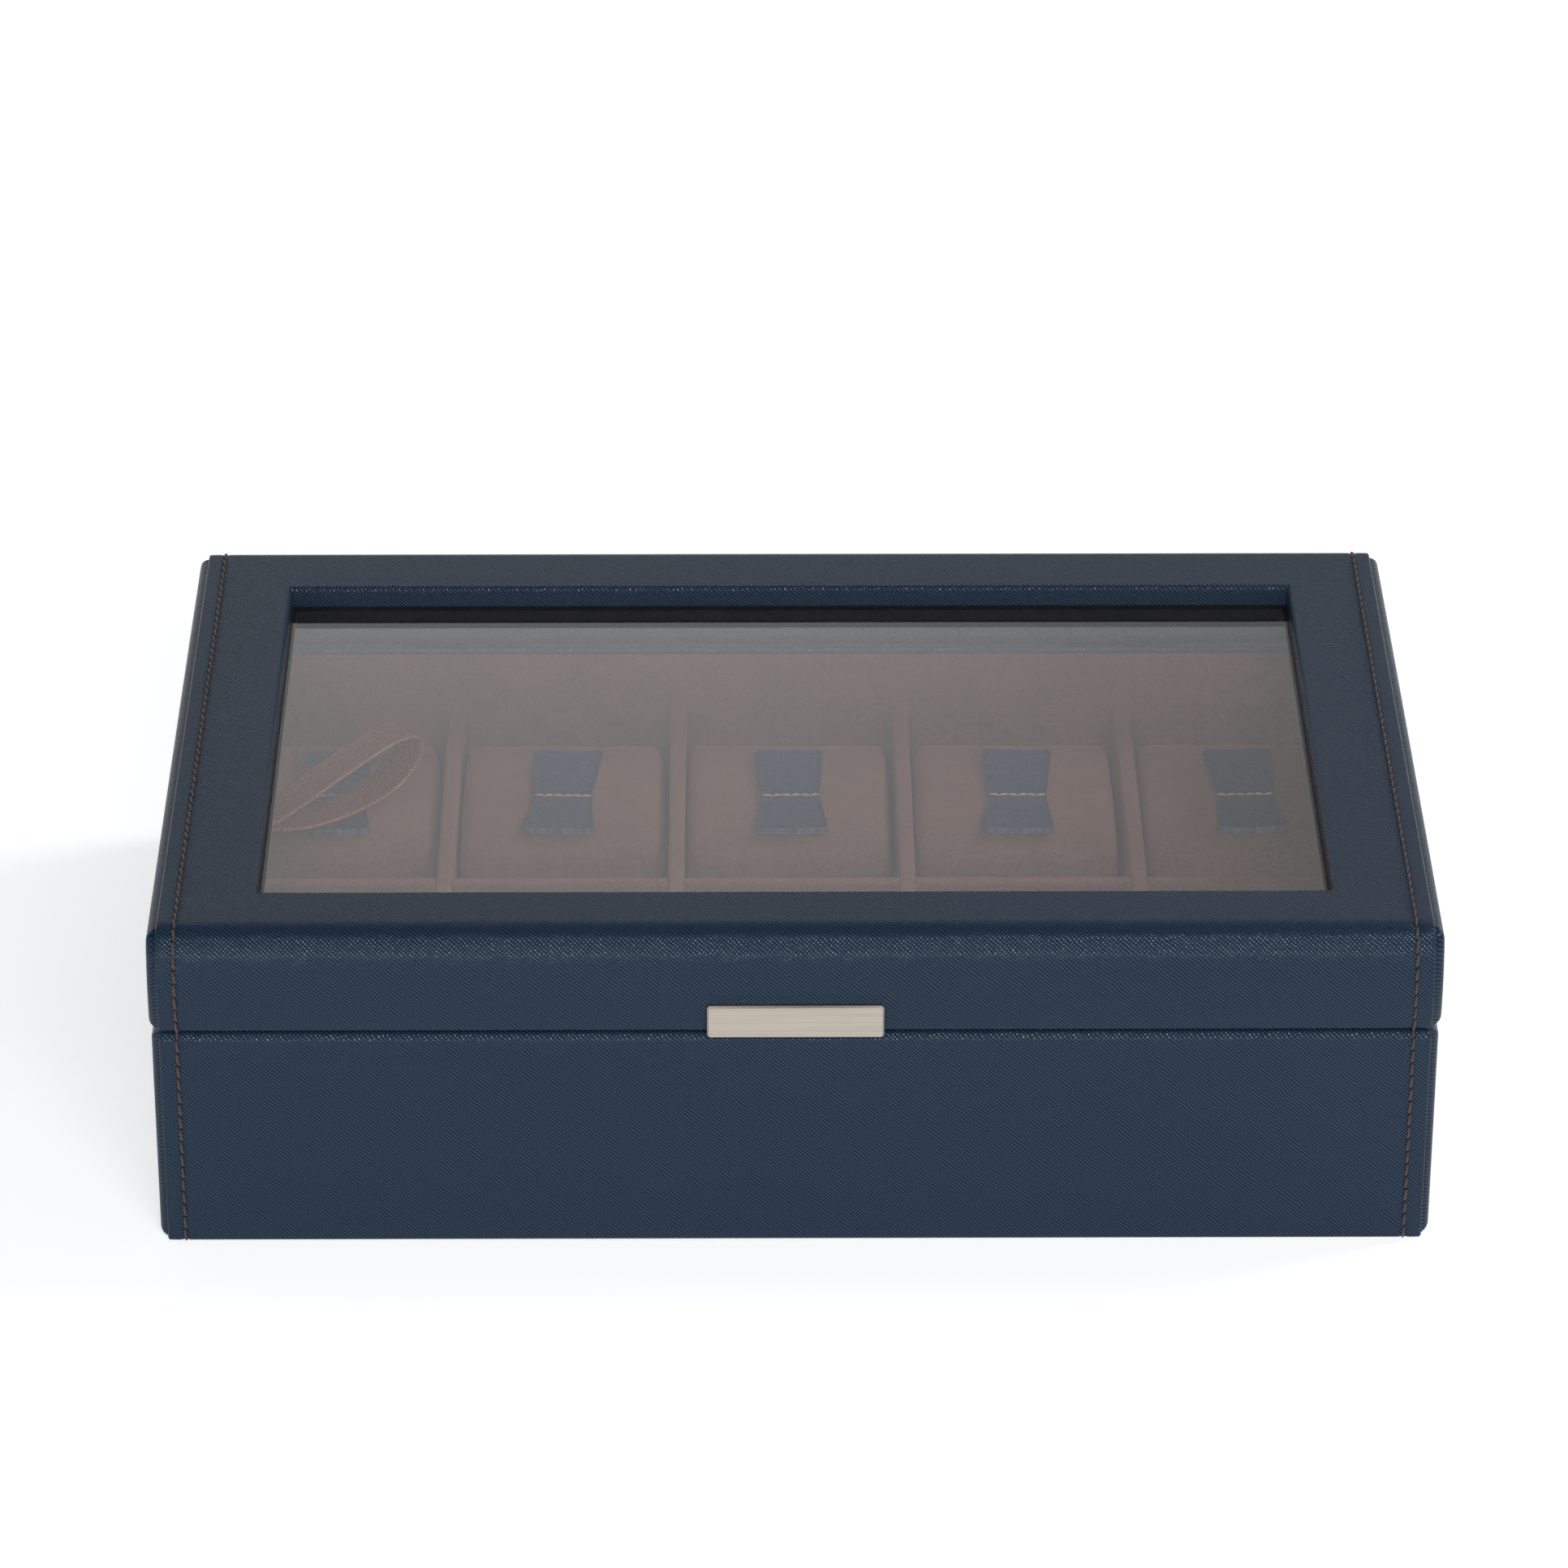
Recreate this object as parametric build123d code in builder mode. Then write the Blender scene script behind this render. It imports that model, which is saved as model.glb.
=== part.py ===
"""Watch box: a leather-covered box with a glazed hinged lid, divided for ten watch cushions.

Millimetres. X runs to the right, Y to the back and Z up. The origin is the middle of the underside.
"""

import os
from math import cos, radians, sin, sqrt

from build123d import *

os.makedirs("parts", exist_ok=True)

# Overall sizes
box_width = 300.0
box_depth = 200.0
box_height = 84.0
base_height = 57.5
seam_gap = 0.8

# Sheets and boards
leather = 1.2
board = 5.0
lining = 1.3
floor_board_thickness = 3.8
floor_lining_thickness = 1.2
base_lip = 1.6
lid_lip = 6.4
base_pad_swell = 1.9
lid_pad_swell = 2.3
pad_rounding = 2.2
pad_foot = 0.6

# Rounding of the leather edges
rim_outer_rounding = 2.5
rim_inner_rounding = 1.0
foot_rounding = 1.0
lid_roll = 8.0
lid_back_rounding = 4.0
lid_lower_rounding = 2.0
lid_overhang = 1.0
lid_crown_radius = 44.0
lid_crown_height = 67.5

# Window, set in from the box's outline
side_border = 22.5
front_border = 22.0
window_rounding = 1.2
glass_drop = 5.3
glass_thickness = 2.0
glass_seat = 6.0
glass_clearance = 0.2
retainer_thickness = 5.0
retainer_reveal = 1.2

# Dividers
divider_thickness = 4.0
divider_top = 41.0
divider_rounding = 1.2
slot_clearance = 0.1
columns = 5
rows = 2

# Watch cushions and their pull tabs
cushion_width = 51.6
cushion_length = 62.0
cushion_top = 40.0
cushion_rounding = 9.0
cushion_crown = 0.8
cushion_end_draw = 3.0
cushion_floor_gap = 0.3
tab_length = 42.0
tab_end_width = 17.7
tab_waist_width = 14.3
tab_thickness = 1.6
tab_corner = 1.2
tab_forward = 3.5
tab_turns = (1.2, -1.6, 0.8, -2.4, 1.8, 0.9, -2.2, 1.4, -1.1, 2.0)

# Front plate
plate_width = 41.6
plate_height = 8.6
plate_thickness = 1.6
plate_low = 57.8
plate_corner = 0.8
plate_bevel = 0.4
prong_radius = 1.0
prong_length = 5.5
prong_spacing = 28.0
prong_clearance = 0.05

# Hinges
hinge_spacing = 170.0
hinge_width = 30.0
hinge_axis_back = 1.6
knuckle_radius = 2.2
knuckle_gap = 0.2
pin_radius = 0.9
pin_clearance = 0.05
leaf_thickness = 0.7
leaf_gap = 0.1
leaf_length = 4.9
leaf_pocket_clearance = 0.15
screw_spacing = 16.0
screw_radius = 0.8
screw_head_radius = 1.5
screw_length = 8.0
screw_clearance = 0.05

# Stay ribbon
ribbon_width = 10.0
ribbon_thickness = 0.5
ribbon_reach = 50.0
ribbon_wall_gap = 0.4
ribbon_end_gap = 0.8

# Derived levels and half sizes
half_width = box_width / 2
half_depth = box_depth / 2
wall = leather + board + lining
inner_half_width = half_width - wall
inner_half_depth = half_depth - wall
board_half_width = half_width - leather
board_half_depth = half_depth - leather
core_half_width = board_half_width - board
core_half_depth = board_half_depth - board
base_board_top = base_height - leather
floor_board_top = leather + floor_board_thickness
floor_level = floor_board_top + floor_lining_thickness
lid_low = base_height + seam_gap
lid_board_low = lid_low + leather
glass_top = box_height - glass_drop
glass_low = glass_top - glass_thickness
retainer_low = glass_top - retainer_thickness
half_window_width = half_width - side_border
half_window_depth = half_depth - front_border
lid_front_y = -half_depth - lid_overhang
seam_middle = base_height + seam_gap / 2
hinge_y = half_depth + hinge_axis_back
cell_width = (2 * inner_half_width - (columns - 1) * divider_thickness) / columns
cell_depth = (2 * inner_half_depth - (rows - 1) * divider_thickness) / rows
column_pitch = cell_width + divider_thickness
row_pitch = cell_depth + divider_thickness
divider_middle = (floor_level + divider_top) / 2
cushion_low = floor_level + cushion_floor_gap


def save(piece, name):
    """Labels a finished piece and writes it under its node's name."""
    piece.label = name
    export_step(piece, f"parts/{name}.step")


def block(low, high, mode=Mode.ADD):
    """Rectangular block between two opposite corners."""
    centre = tuple((a + b) / 2 for a, b in zip(low, high))
    size = tuple(b - a for a, b in zip(low, high))
    with Locations(centre):
        Box(*size, mode=mode)


def tile(low, high, mode=Mode.ADD):
    """Rectangle of a sketch between two opposite corners."""
    with Locations(((low[0] + high[0]) / 2, (low[1] + high[1]) / 2)):
        Rectangle(high[0] - low[0], high[1] - low[1], mode=mode)


def cut_end_boxes(y_low, y_high, z_low, z_high, x_from, x_to):
    """Takes the same block away at the left and at the right end."""
    for side in (-1, 1):
        ends = sorted((side * x_from, side * x_to))
        block((ends[0], y_low, z_low), (ends[1], y_high, z_high), Mode.SUBTRACT)


def screw_places():
    """Middle of each hinge screw across the width of the box."""
    return [
        hinge * hinge_spacing / 2 + screw * screw_spacing / 2
        for hinge in (-1, 1)
        for screw in (-1, 1)
    ]


screw_y = board_half_depth - board / 2
leaf_front_y = hinge_y - knuckle_radius - knuckle_gap - leaf_length
base_leaf_low = seam_middle - leaf_gap / 2 - leaf_thickness
lid_leaf_high = seam_middle + leaf_gap / 2 + leaf_thickness


def drill_screws(z_low, z_high, radius):
    """Screw holes between two heights at every hinge screw."""
    for x in screw_places():
        with Locations((x, screw_y, (z_low + z_high) / 2)):
            Cylinder(radius, z_high - z_low, mode=Mode.SUBTRACT)


def cut_leaf_pockets(z_low, z_high):
    """Shallow pockets for both hinge leaves in a leather rim."""
    for side in (-1, 1):
        x = side * hinge_spacing / 2
        half = hinge_width / 2 + leaf_pocket_clearance
        block(
            (x - half, leaf_front_y - leaf_pocket_clearance, z_low),
            (x + half, hinge_y, z_high),
            Mode.SUBTRACT,
        )


# Base boards
with BuildPart() as base_front_board:
    block(
        (-board_half_width, -board_half_depth, leather),
        (board_half_width, -core_half_depth, base_board_top),
    )
save(base_front_board.part, "base_front_board")

with BuildPart() as base_back_board:
    block(
        (-board_half_width, core_half_depth, leather),
        (board_half_width, board_half_depth, base_board_top),
    )
    drill_screws(base_leaf_low + leaf_thickness - screw_length, base_board_top, screw_radius)
save(base_back_board.part, "base_back_board")

with BuildPart() as base_left_board:
    block(
        (-board_half_width, -core_half_depth, leather),
        (-core_half_width, core_half_depth, base_board_top),
    )
save(base_left_board.part, "base_left_board")

with BuildPart() as base_right_board:
    mirror(base_left_board.part, about=Plane.YZ)
save(base_right_board.part, "base_right_board")

with BuildPart() as base_floor_board:
    block(
        (-core_half_width, -core_half_depth, leather),
        (core_half_width, core_half_depth, floor_board_top),
    )
save(base_floor_board.part, "base_floor_board")

with BuildPart() as underside_sheet:
    block(
        (-board_half_width, -core_half_depth, 0),
        (board_half_width, core_half_depth, leather),
    )
save(underside_sheet.part, "underside_sheet")

# Leather of the base's front and back, turned over the rim and under the foot
with BuildPart() as base_front_leather:
    with BuildSketch(Plane.YZ):
        tile((-half_depth, 0), (-inner_half_depth, base_height))
        fillet(vertices().group_by(Axis.Y)[-1].sort_by(Axis.X)[0], rim_outer_rounding)
        fillet(vertices().group_by(Axis.Y)[-1].sort_by(Axis.X)[-1], rim_inner_rounding)
        fillet(vertices().group_by(Axis.Y)[0].sort_by(Axis.X)[0], foot_rounding)
        tile((-board_half_depth, leather), (-core_half_depth, base_board_top), Mode.SUBTRACT)
        tile((-core_half_depth, 0), (-inner_half_depth, base_height - base_lip), Mode.SUBTRACT)
    extrude(amount=half_width, both=True)
    cut_end_boxes(-board_half_depth, -inner_half_depth, 0, base_height, board_half_width, half_width)
    cut_end_boxes(
        -core_half_depth, -inner_half_depth, 0, base_board_top, inner_half_width, board_half_width
    )
save(base_front_leather.part, "base_front_leather")

with BuildPart() as base_back_leather:
    mirror(base_front_leather.part, about=Plane.XZ)
    cut_leaf_pockets(base_leaf_low, base_height)
    drill_screws(base_board_top, base_height, screw_radius)
save(base_back_leather.part, "base_back_leather")

# Padded leather of the base's sides, turned over the rim
with BuildPart() as base_left_pad:
    block(
        (-half_width - base_pad_swell, -board_half_depth, pad_foot),
        (-board_half_width, board_half_depth, base_height),
    )
    fillet(faces().sort_by(Axis.X)[0].edges(), pad_rounding)
    block(
        (-board_half_width, -inner_half_depth, base_board_top),
        (-inner_half_width, inner_half_depth, base_height),
    )
    block(
        (-core_half_width, -inner_half_depth, base_height - base_lip),
        (-inner_half_width, inner_half_depth, base_board_top),
    )
    rim_edges = edges().filter_by(Axis.Y).group_by(Axis.Z)[-1]
    fillet(rim_edges.sort_by(Axis.X)[-1], rim_inner_rounding)
save(base_left_pad.part, "base_left_pad")

with BuildPart() as base_right_pad:
    mirror(base_left_pad.part, about=Plane.YZ)
save(base_right_pad.part, "base_right_pad")

# Suede linings of the base
with BuildPart() as floor_lining:
    block(
        (-core_half_width, -core_half_depth, floor_board_top),
        (core_half_width, core_half_depth, floor_level),
    )
save(floor_lining.part, "floor_lining")

lining_top = base_height - base_lip

with BuildPart() as front_wall_lining:
    block(
        (-core_half_width, -core_half_depth, floor_level),
        (core_half_width, -inner_half_depth, lining_top),
    )
save(front_wall_lining.part, "front_wall_lining")

with BuildPart() as back_wall_lining:
    mirror(front_wall_lining.part, about=Plane.XZ)
save(back_wall_lining.part, "back_wall_lining")

with BuildPart() as left_wall_lining:
    block(
        (-core_half_width, -inner_half_depth, floor_level),
        (-inner_half_width, inner_half_depth, lining_top),
    )
save(left_wall_lining.part, "left_wall_lining")

with BuildPart() as right_wall_lining:
    mirror(left_wall_lining.part, about=Plane.YZ)
save(right_wall_lining.part, "right_wall_lining")

# Dividers, slotted into each other at half their height
divider_places = [(k - columns / 2 + 1) * column_pitch for k in range(columns - 1)]
half_divider = divider_thickness / 2
half_slot = half_divider + slot_clearance

with BuildPart() as long_divider:
    with BuildSketch(Plane.YZ):
        tile((-half_divider, floor_level), (half_divider, divider_top))
        fillet(vertices().group_by(Axis.Y)[-1], divider_rounding)
    extrude(amount=inner_half_width, both=True)
    for x in divider_places:
        block(
            (x - half_slot, -divider_thickness, divider_middle - slot_clearance),
            (x + half_slot, divider_thickness, divider_top),
            Mode.SUBTRACT,
        )
save(long_divider.part, "long_divider")

for number, x in enumerate(divider_places, start=1):
    with BuildPart() as cross_divider:
        with BuildSketch(Plane.XZ):
            tile((x - half_divider, floor_level), (x + half_divider, divider_top))
            fillet(vertices().group_by(Axis.Y)[-1], divider_rounding)
        extrude(amount=inner_half_depth, both=True)
        block(
            (x - divider_thickness, -half_slot, floor_level),
            (x + divider_thickness, half_slot, divider_middle + slot_clearance),
            Mode.SUBTRACT,
        )
    save(cross_divider.part, f"cross_divider_{number}")


# Watch cushions: soft rounded blocks, fullest in the middle and drawn in at both ends
def cushion_section(inset, crown):
    """Side outline of a cushion, set in all round, with its top swelling by the crown."""
    half_length = cushion_length / 2 - inset
    low = cushion_low + inset
    high = cushion_top - cushion_crown - inset
    with BuildSketch(Plane.XY) as section:
        with BuildLine():
            Polyline((half_length, high), (half_length, low), (-half_length, low), (-half_length, high))
            ThreePointArc((-half_length, high), (0, high + crown), (half_length, high))
        make_face()
        fillet(vertices(), cushion_rounding - inset)
    return section.sketch


def cell_centre(column, row):
    """Middle of a compartment, with columns counted from the left and rows from the front."""
    return (
        (column - (columns - 1) / 2) * column_pitch,
        (row - (rows - 1) / 2) * row_pitch,
    )


def tab_section():
    """Plan outline of a pull tab: two wide ends and a narrow waist."""
    end = tab_length / 2
    wide = tab_end_width / 2
    waist = tab_waist_width / 2
    with BuildSketch(Plane.XY) as section:
        with BuildLine():
            Polyline((waist, 0), (wide, end), (-wide, end), (-waist, 0))
            Polyline((-waist, 0), (-wide, -end), (wide, -end), (waist, 0))
        make_face()
        fillet(vertices().group_by(Axis.Y)[-1] + vertices().group_by(Axis.Y)[0], tab_corner)
    return section.sketch


# Shares of the half width, of the end's draw and of the crown, from the left end to the right end
cushion_stations = (
    (-1.0, 1.0, 0.1),
    (-0.88, 0.25, 0.5),
    (-0.5, 0.0, 0.9),
    (0.5, 0.0, 0.9),
    (0.88, 0.25, 0.5),
    (1.0, 1.0, 0.1),
)

for row in range(rows):
    for column in range(columns):
        centre_x, centre_y = cell_centre(column, row)
        number = row * columns + column + 1
        with BuildPart() as cushion:
            for along, draw, swell in cushion_stations:
                section_plane = Plane(
                    origin=(centre_x + along * cushion_width / 2, centre_y, 0),
                    x_dir=(0, 1, 0),
                    z_dir=(1, 0, 0),
                )
                with BuildSketch(section_plane):
                    add(cushion_section(draw * cushion_end_draw, swell * cushion_crown))
            loft(ruled=False)
        save(cushion.part, f"cushion_{number}")

        tab_plane = Plane(
            origin=(centre_x, centre_y - tab_forward, cushion_top),
            x_dir=(cos(radians(tab_turns[number - 1])), sin(radians(tab_turns[number - 1])), 0),
            z_dir=(0, 0, 1),
        )
        with BuildPart() as pull_tab:
            with BuildSketch(tab_plane):
                add(tab_section())
            extrude(amount=tab_thickness)
        save(pull_tab.part, f"pull_tab_{number}")


# Lid: its side outline, rolled at the front and rounded at the back
def lid_section(inset, foot):
    """Side outline of the lid, set in from the outer skin, standing on the height foot."""
    arc_radius = lid_crown_radius - inset
    arc_centre_y = lid_front_y + lid_crown_radius
    top = box_height - inset
    back = half_depth - inset

    def front_at(z):
        return arc_centre_y - sqrt(arc_radius**2 - (z - lid_crown_height) ** 2)

    with BuildSketch(Plane.XY) as section:
        with BuildLine():
            ThreePointArc(
                (front_at(foot), foot),
                (arc_centre_y - arc_radius, lid_crown_height),
                (front_at(top), top),
            )
            Polyline((front_at(top), top), (back, top), (back, foot), (front_at(foot), foot))
        make_face()
        fillet(vertices().group_by(Axis.Y)[-1].sort_by(Axis.X)[0], lid_roll - inset)
        fillet(vertices().group_by(Axis.Y)[-1].sort_by(Axis.X)[-1], lid_back_rounding - inset)
    return section.sketch


board_window_width = half_window_width + leather
board_window_depth = half_window_depth + leather

with BuildPart() as lid_frame_board:
    with BuildSketch(Plane.YZ):
        add(lid_section(leather, lid_board_low))
        tile((-box_depth, 0), (box_depth, glass_top), Mode.SUBTRACT)
    extrude(amount=board_half_width, both=True)
    block(
        (-board_window_width, -board_window_depth, glass_low),
        (board_window_width, board_window_depth, box_height),
        Mode.SUBTRACT,
    )
save(lid_frame_board.part, "lid_frame_board")

prong_z = plate_low + plate_height / 2


def prong_cylinders(radius, mode):
    """The two prongs of the front plate, or their holes."""
    for side in (-1, 1):
        place = Location((side * prong_spacing / 2, lid_front_y + prong_length / 2, prong_z), (90, 0, 0))
        with Locations(place):
            Cylinder(radius, prong_length, mode=mode)


with BuildPart() as lid_front_rail:
    with BuildSketch(Plane.YZ):
        add(lid_section(leather, lid_board_low))
        tile((-core_half_depth, 0), (box_depth, box_height), Mode.SUBTRACT)
        tile((-box_depth, glass_top), (0, box_height), Mode.SUBTRACT)
    extrude(amount=board_half_width, both=True)
    prong_cylinders(prong_radius + prong_clearance, Mode.SUBTRACT)
save(lid_front_rail.part, "lid_front_rail")

with BuildPart() as lid_back_rail:
    block(
        (-board_half_width, core_half_depth, lid_board_low),
        (board_half_width, board_half_depth, glass_top),
    )
    drill_screws(lid_board_low, lid_leaf_high - leaf_thickness + screw_length, screw_radius)
save(lid_back_rail.part, "lid_back_rail")

with BuildPart() as lid_left_rail:
    block(
        (-board_half_width, -core_half_depth, lid_board_low),
        (-core_half_width, core_half_depth, glass_top),
    )
save(lid_left_rail.part, "lid_left_rail")

with BuildPart() as lid_right_rail:
    mirror(lid_left_rail.part, about=Plane.YZ)
save(lid_right_rail.part, "lid_right_rail")

# Leather of the lid: one strap over the front, the top and the back, turned in at the rim and the window
with BuildPart() as lid_leather:
    with BuildSketch(Plane.YZ):
        add(lid_section(0, lid_low))
        fillet(vertices().group_by(Axis.Y)[0].sort_by(Axis.X)[-1], lid_lower_rounding)
        fillet(vertices().group_by(Axis.Y)[0].sort_by(Axis.X)[0], foot_rounding)
        add(lid_section(leather, lid_board_low), mode=Mode.SUBTRACT)
        tile((-inner_half_depth, lid_low), (inner_half_depth, lid_board_low), Mode.SUBTRACT)
        tile((-core_half_depth, lid_low), (-inner_half_depth, lid_low + lid_lip))
        tile((inner_half_depth, lid_low), (core_half_depth, lid_low + lid_lip))
    extrude(amount=half_width, both=True)
    block(
        (-board_window_width, -board_window_depth, glass_top),
        (board_window_width, board_window_depth, box_height - leather),
    )
    block(
        (-half_window_width, -half_window_depth, glass_top),
        (half_window_width, half_window_depth, box_height),
        Mode.SUBTRACT,
    )
    top_edges = edges().group_by(Axis.Z)[-1]
    window_edges = top_edges.filter_by(lambda e: abs(e.center().X) < board_window_width).filter_by(
        lambda e: abs(e.center().Y) < board_window_depth
    )
    fillet(window_edges, window_rounding)
    for side in (-1, 1):
        with BuildSketch(Plane.YZ.offset(side * board_half_width)):
            add(lid_section(leather, lid_low))
        extrude(amount=side * leather, mode=Mode.SUBTRACT)
    lip_top = lid_low + lid_lip
    cut_end_boxes(
        -core_half_depth, core_half_depth, lid_board_low, lip_top, inner_half_width, board_half_width
    )
    cut_leaf_pockets(lid_low, lid_leaf_high)
    drill_screws(lid_low, lid_board_low, screw_radius)
    prong_cylinders(prong_radius + prong_clearance, Mode.SUBTRACT)
save(lid_leather.part, "lid_leather")

# Padded leather of the lid's sides
with BuildPart() as lid_left_pad:
    with BuildSketch(Plane.YZ.offset(-board_half_width)):
        add(lid_section(leather, lid_low))
    extrude(amount=-(half_width + lid_pad_swell - board_half_width))
    fillet(faces().sort_by(Axis.X)[0].edges(), pad_rounding)
    block(
        (-board_half_width, -inner_half_depth, lid_low),
        (-inner_half_width, inner_half_depth, lid_board_low),
    )
    block(
        (-core_half_width, -inner_half_depth, lid_board_low),
        (-inner_half_width, inner_half_depth, lid_low + lid_lip),
    )
save(lid_left_pad.part, "lid_left_pad")

with BuildPart() as lid_right_pad:
    mirror(lid_left_pad.part, about=Plane.YZ)
save(lid_right_pad.part, "lid_right_pad")

# Glass, the frame that holds it from below, and the suede of the lid's inner walls
rebate_half_width = half_window_width + glass_seat
rebate_half_depth = half_window_depth + glass_seat

with BuildPart() as window_glass:
    block(
        (-rebate_half_width + glass_clearance, -rebate_half_depth + glass_clearance, glass_low),
        (rebate_half_width - glass_clearance, rebate_half_depth - glass_clearance, glass_top),
    )
save(window_glass.part, "window_glass")

with BuildPart() as window_retainer:
    block(
        (-core_half_width, -core_half_depth, retainer_low),
        (core_half_width, core_half_depth, glass_top),
    )
    block(
        (-rebate_half_width, -rebate_half_depth, glass_low),
        (rebate_half_width, rebate_half_depth, glass_top),
        Mode.SUBTRACT,
    )
    block(
        (retainer_reveal - half_window_width, retainer_reveal - half_window_depth, retainer_low),
        (half_window_width - retainer_reveal, half_window_depth - retainer_reveal, glass_low),
        Mode.SUBTRACT,
    )
save(window_retainer.part, "window_retainer")

with BuildPart() as lid_wall_lining:
    block(
        (-core_half_width, -core_half_depth, lid_low + lid_lip),
        (core_half_width, core_half_depth, retainer_low),
    )
    block(
        (-inner_half_width, -inner_half_depth, lid_low + lid_lip),
        (inner_half_width, inner_half_depth, retainer_low),
        Mode.SUBTRACT,
    )
save(lid_wall_lining.part, "lid_wall_lining")

# Front plate with its two prongs
with BuildPart() as front_plate:
    with BuildSketch(Plane.XZ.offset(-lid_front_y)):
        with Locations((0, prong_z)):
            RectangleRounded(plate_width, plate_height, plate_corner)
    extrude(amount=plate_thickness)
    chamfer(faces().sort_by(Axis.Y)[0].edges(), plate_bevel)
    prong_cylinders(prong_radius, Mode.ADD)
save(front_plate.part, "front_plate")


# Hinges: two leaves, three knuckles and a pin each
def leaf(side, z_low, z_high, knuckles):
    """Leaf plate with its knuckles. Each knuckle is given by its two ends along the pin."""
    x = side * hinge_spacing / 2
    half = hinge_width / 2
    plate_back_y = leaf_front_y + leaf_length
    block((x - half, leaf_front_y, z_low), (x + half, plate_back_y, z_high))
    for start, end in knuckles:
        block((x + start, plate_back_y, z_low), (x + end, hinge_y, z_high))
        place = Location((x + (start + end) / 2, hinge_y, seam_middle), (0, 90, 0))
        with Locations(place):
            Cylinder(knuckle_radius, end - start)
    with Locations(Location((x, hinge_y, seam_middle), (0, 90, 0))):
        Cylinder(pin_radius + pin_clearance, hinge_width, mode=Mode.SUBTRACT)


def screw_cone(x, z_wide, z_narrow, extra, mode):
    """Countersunk head between the leaf's outer face and its inner face."""
    wide = screw_head_radius + extra
    narrow = screw_radius + extra
    low, high = sorted((z_wide, z_narrow))
    bottom, top = (wide, narrow) if z_wide < z_narrow else (narrow, wide)
    with Locations((x, screw_y, (low + high) / 2)):
        Cone(bottom, top, high - low, mode=mode)


third = hinge_width / 3
outer_knuckles = ((-hinge_width / 2, -third / 2), (third / 2, hinge_width / 2))
middle_knuckle = ((-third / 2 + knuckle_gap, third / 2 - knuckle_gap),)
base_leaf_high = base_leaf_low + leaf_thickness
lid_leaf_low = lid_leaf_high - leaf_thickness

for side, side_name in ((-1, "left"), (1, "right")):
    screws_here = [x for x in screw_places() if x * side > 0]
    with BuildPart() as base_leaf:
        leaf(side, base_leaf_low, base_leaf_high, outer_knuckles)
        for x in screws_here:
            screw_cone(x, base_leaf_high, base_leaf_low, screw_clearance, Mode.SUBTRACT)
    save(base_leaf.part, f"{side_name}_hinge_base_leaf")

    with BuildPart() as lid_leaf:
        leaf(side, lid_leaf_low, lid_leaf_high, middle_knuckle)
        for x in screws_here:
            screw_cone(x, lid_leaf_low, lid_leaf_high, screw_clearance, Mode.SUBTRACT)
    save(lid_leaf.part, f"{side_name}_hinge_lid_leaf")

with BuildPart() as hinge_pins:
    for side in (-1, 1):
        with Locations(Location((side * hinge_spacing / 2, hinge_y, seam_middle), (0, 90, 0))):
            Cylinder(pin_radius, hinge_width)
save(hinge_pins.part, "hinge_pins")

with BuildPart() as hinge_base_screws:
    for x in screw_places():
        screw_cone(x, base_leaf_high, base_leaf_low, 0, Mode.ADD)
        with Locations((x, screw_y, base_leaf_high - screw_length / 2)):
            Cylinder(screw_radius, screw_length)
save(hinge_base_screws.part, "hinge_base_screws")

with BuildPart() as hinge_lid_screws:
    for x in screw_places():
        screw_cone(x, lid_leaf_low, lid_leaf_high, 0, Mode.ADD)
        with Locations((x, screw_y, lid_leaf_low + screw_length / 2)):
            Cylinder(screw_radius, screw_length)
save(hinge_lid_screws.part, "hinge_lid_screws")

# Stay ribbon: up from the base's left wall, inwards and back in a flat loop, and up the lid's left wall.
# Each station holds shares of the loop's reach from the wall and to the back, a share of the tail's height
# over the seam, and the turn of the ribbon's width from the Y axis.
ribbon_tail = retainer_low - seam_middle - ribbon_end_gap
ribbon_stations = (
    (0.0, 0.34, -1.0, 0),
    (0.006, 0.34, -0.74, 0),
    (0.04, 0.32, -0.5, 8),
    (0.12, 0.262, -0.37, 8),
    (0.25, 0.208, -0.36, -4),
    (0.386, 0.262, -0.43, -18),
    (0.518, 0.366, -0.48, -27),
    (0.632, 0.478, -0.5, -33),
    (0.732, 0.59, -0.49, -37),
    (0.812, 0.69, -0.42, -41),
    (0.868, 0.764, -0.28, -44),
    (0.902, 0.808, -0.1, -45),
    (0.914, 0.82, 0.09, -43),
    (0.896, 0.796, 0.26, -39),
    (0.828, 0.726, 0.34, -37),
    (0.728, 0.634, 0.3, -37),
    (0.606, 0.502, 0.22, -36),
    (0.474, 0.34, 0.15, -31),
    (0.35, 0.17, 0.09, -25),
    (0.228, 0.05, 0.0, -18),
    (0.112, 0.036, 0.04, -10),
    (0.03, 0.054, 0.3, -4),
    (0.004, 0.074, 0.64, 0),
    (0.0, 0.08, 1.0, 0),
)
ribbon_points = [
    Vector(
        -inner_half_width + ribbon_wall_gap + out * ribbon_reach,
        back * ribbon_reach,
        seam_middle + rise * ribbon_tail,
    )
    for out, back, rise, _ in ribbon_stations
]

with BuildPart() as stay_ribbon:
    last = len(ribbon_points) - 1
    for index, point in enumerate(ribbon_points):
        tangent = ribbon_points[min(index + 1, last)] - ribbon_points[max(index - 1, 0)]
        turn = radians(ribbon_stations[index][3])
        across = Vector(sin(turn), cos(turn), 0)
        across = (across - tangent.normalized() * across.dot(tangent.normalized())).normalized()
        with BuildSketch(Plane(origin=point, x_dir=across, z_dir=tangent)):
            Rectangle(ribbon_width, ribbon_thickness)
    loft(ruled=True)
save(stay_ribbon.part, "stay_ribbon")
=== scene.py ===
"""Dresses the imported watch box: leather covers and stitching, suede, cushions, ribbon, glass and metal,
and sets the stage, the lights and the camera. Metres throughout, in the row's own frame.
"""

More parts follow.
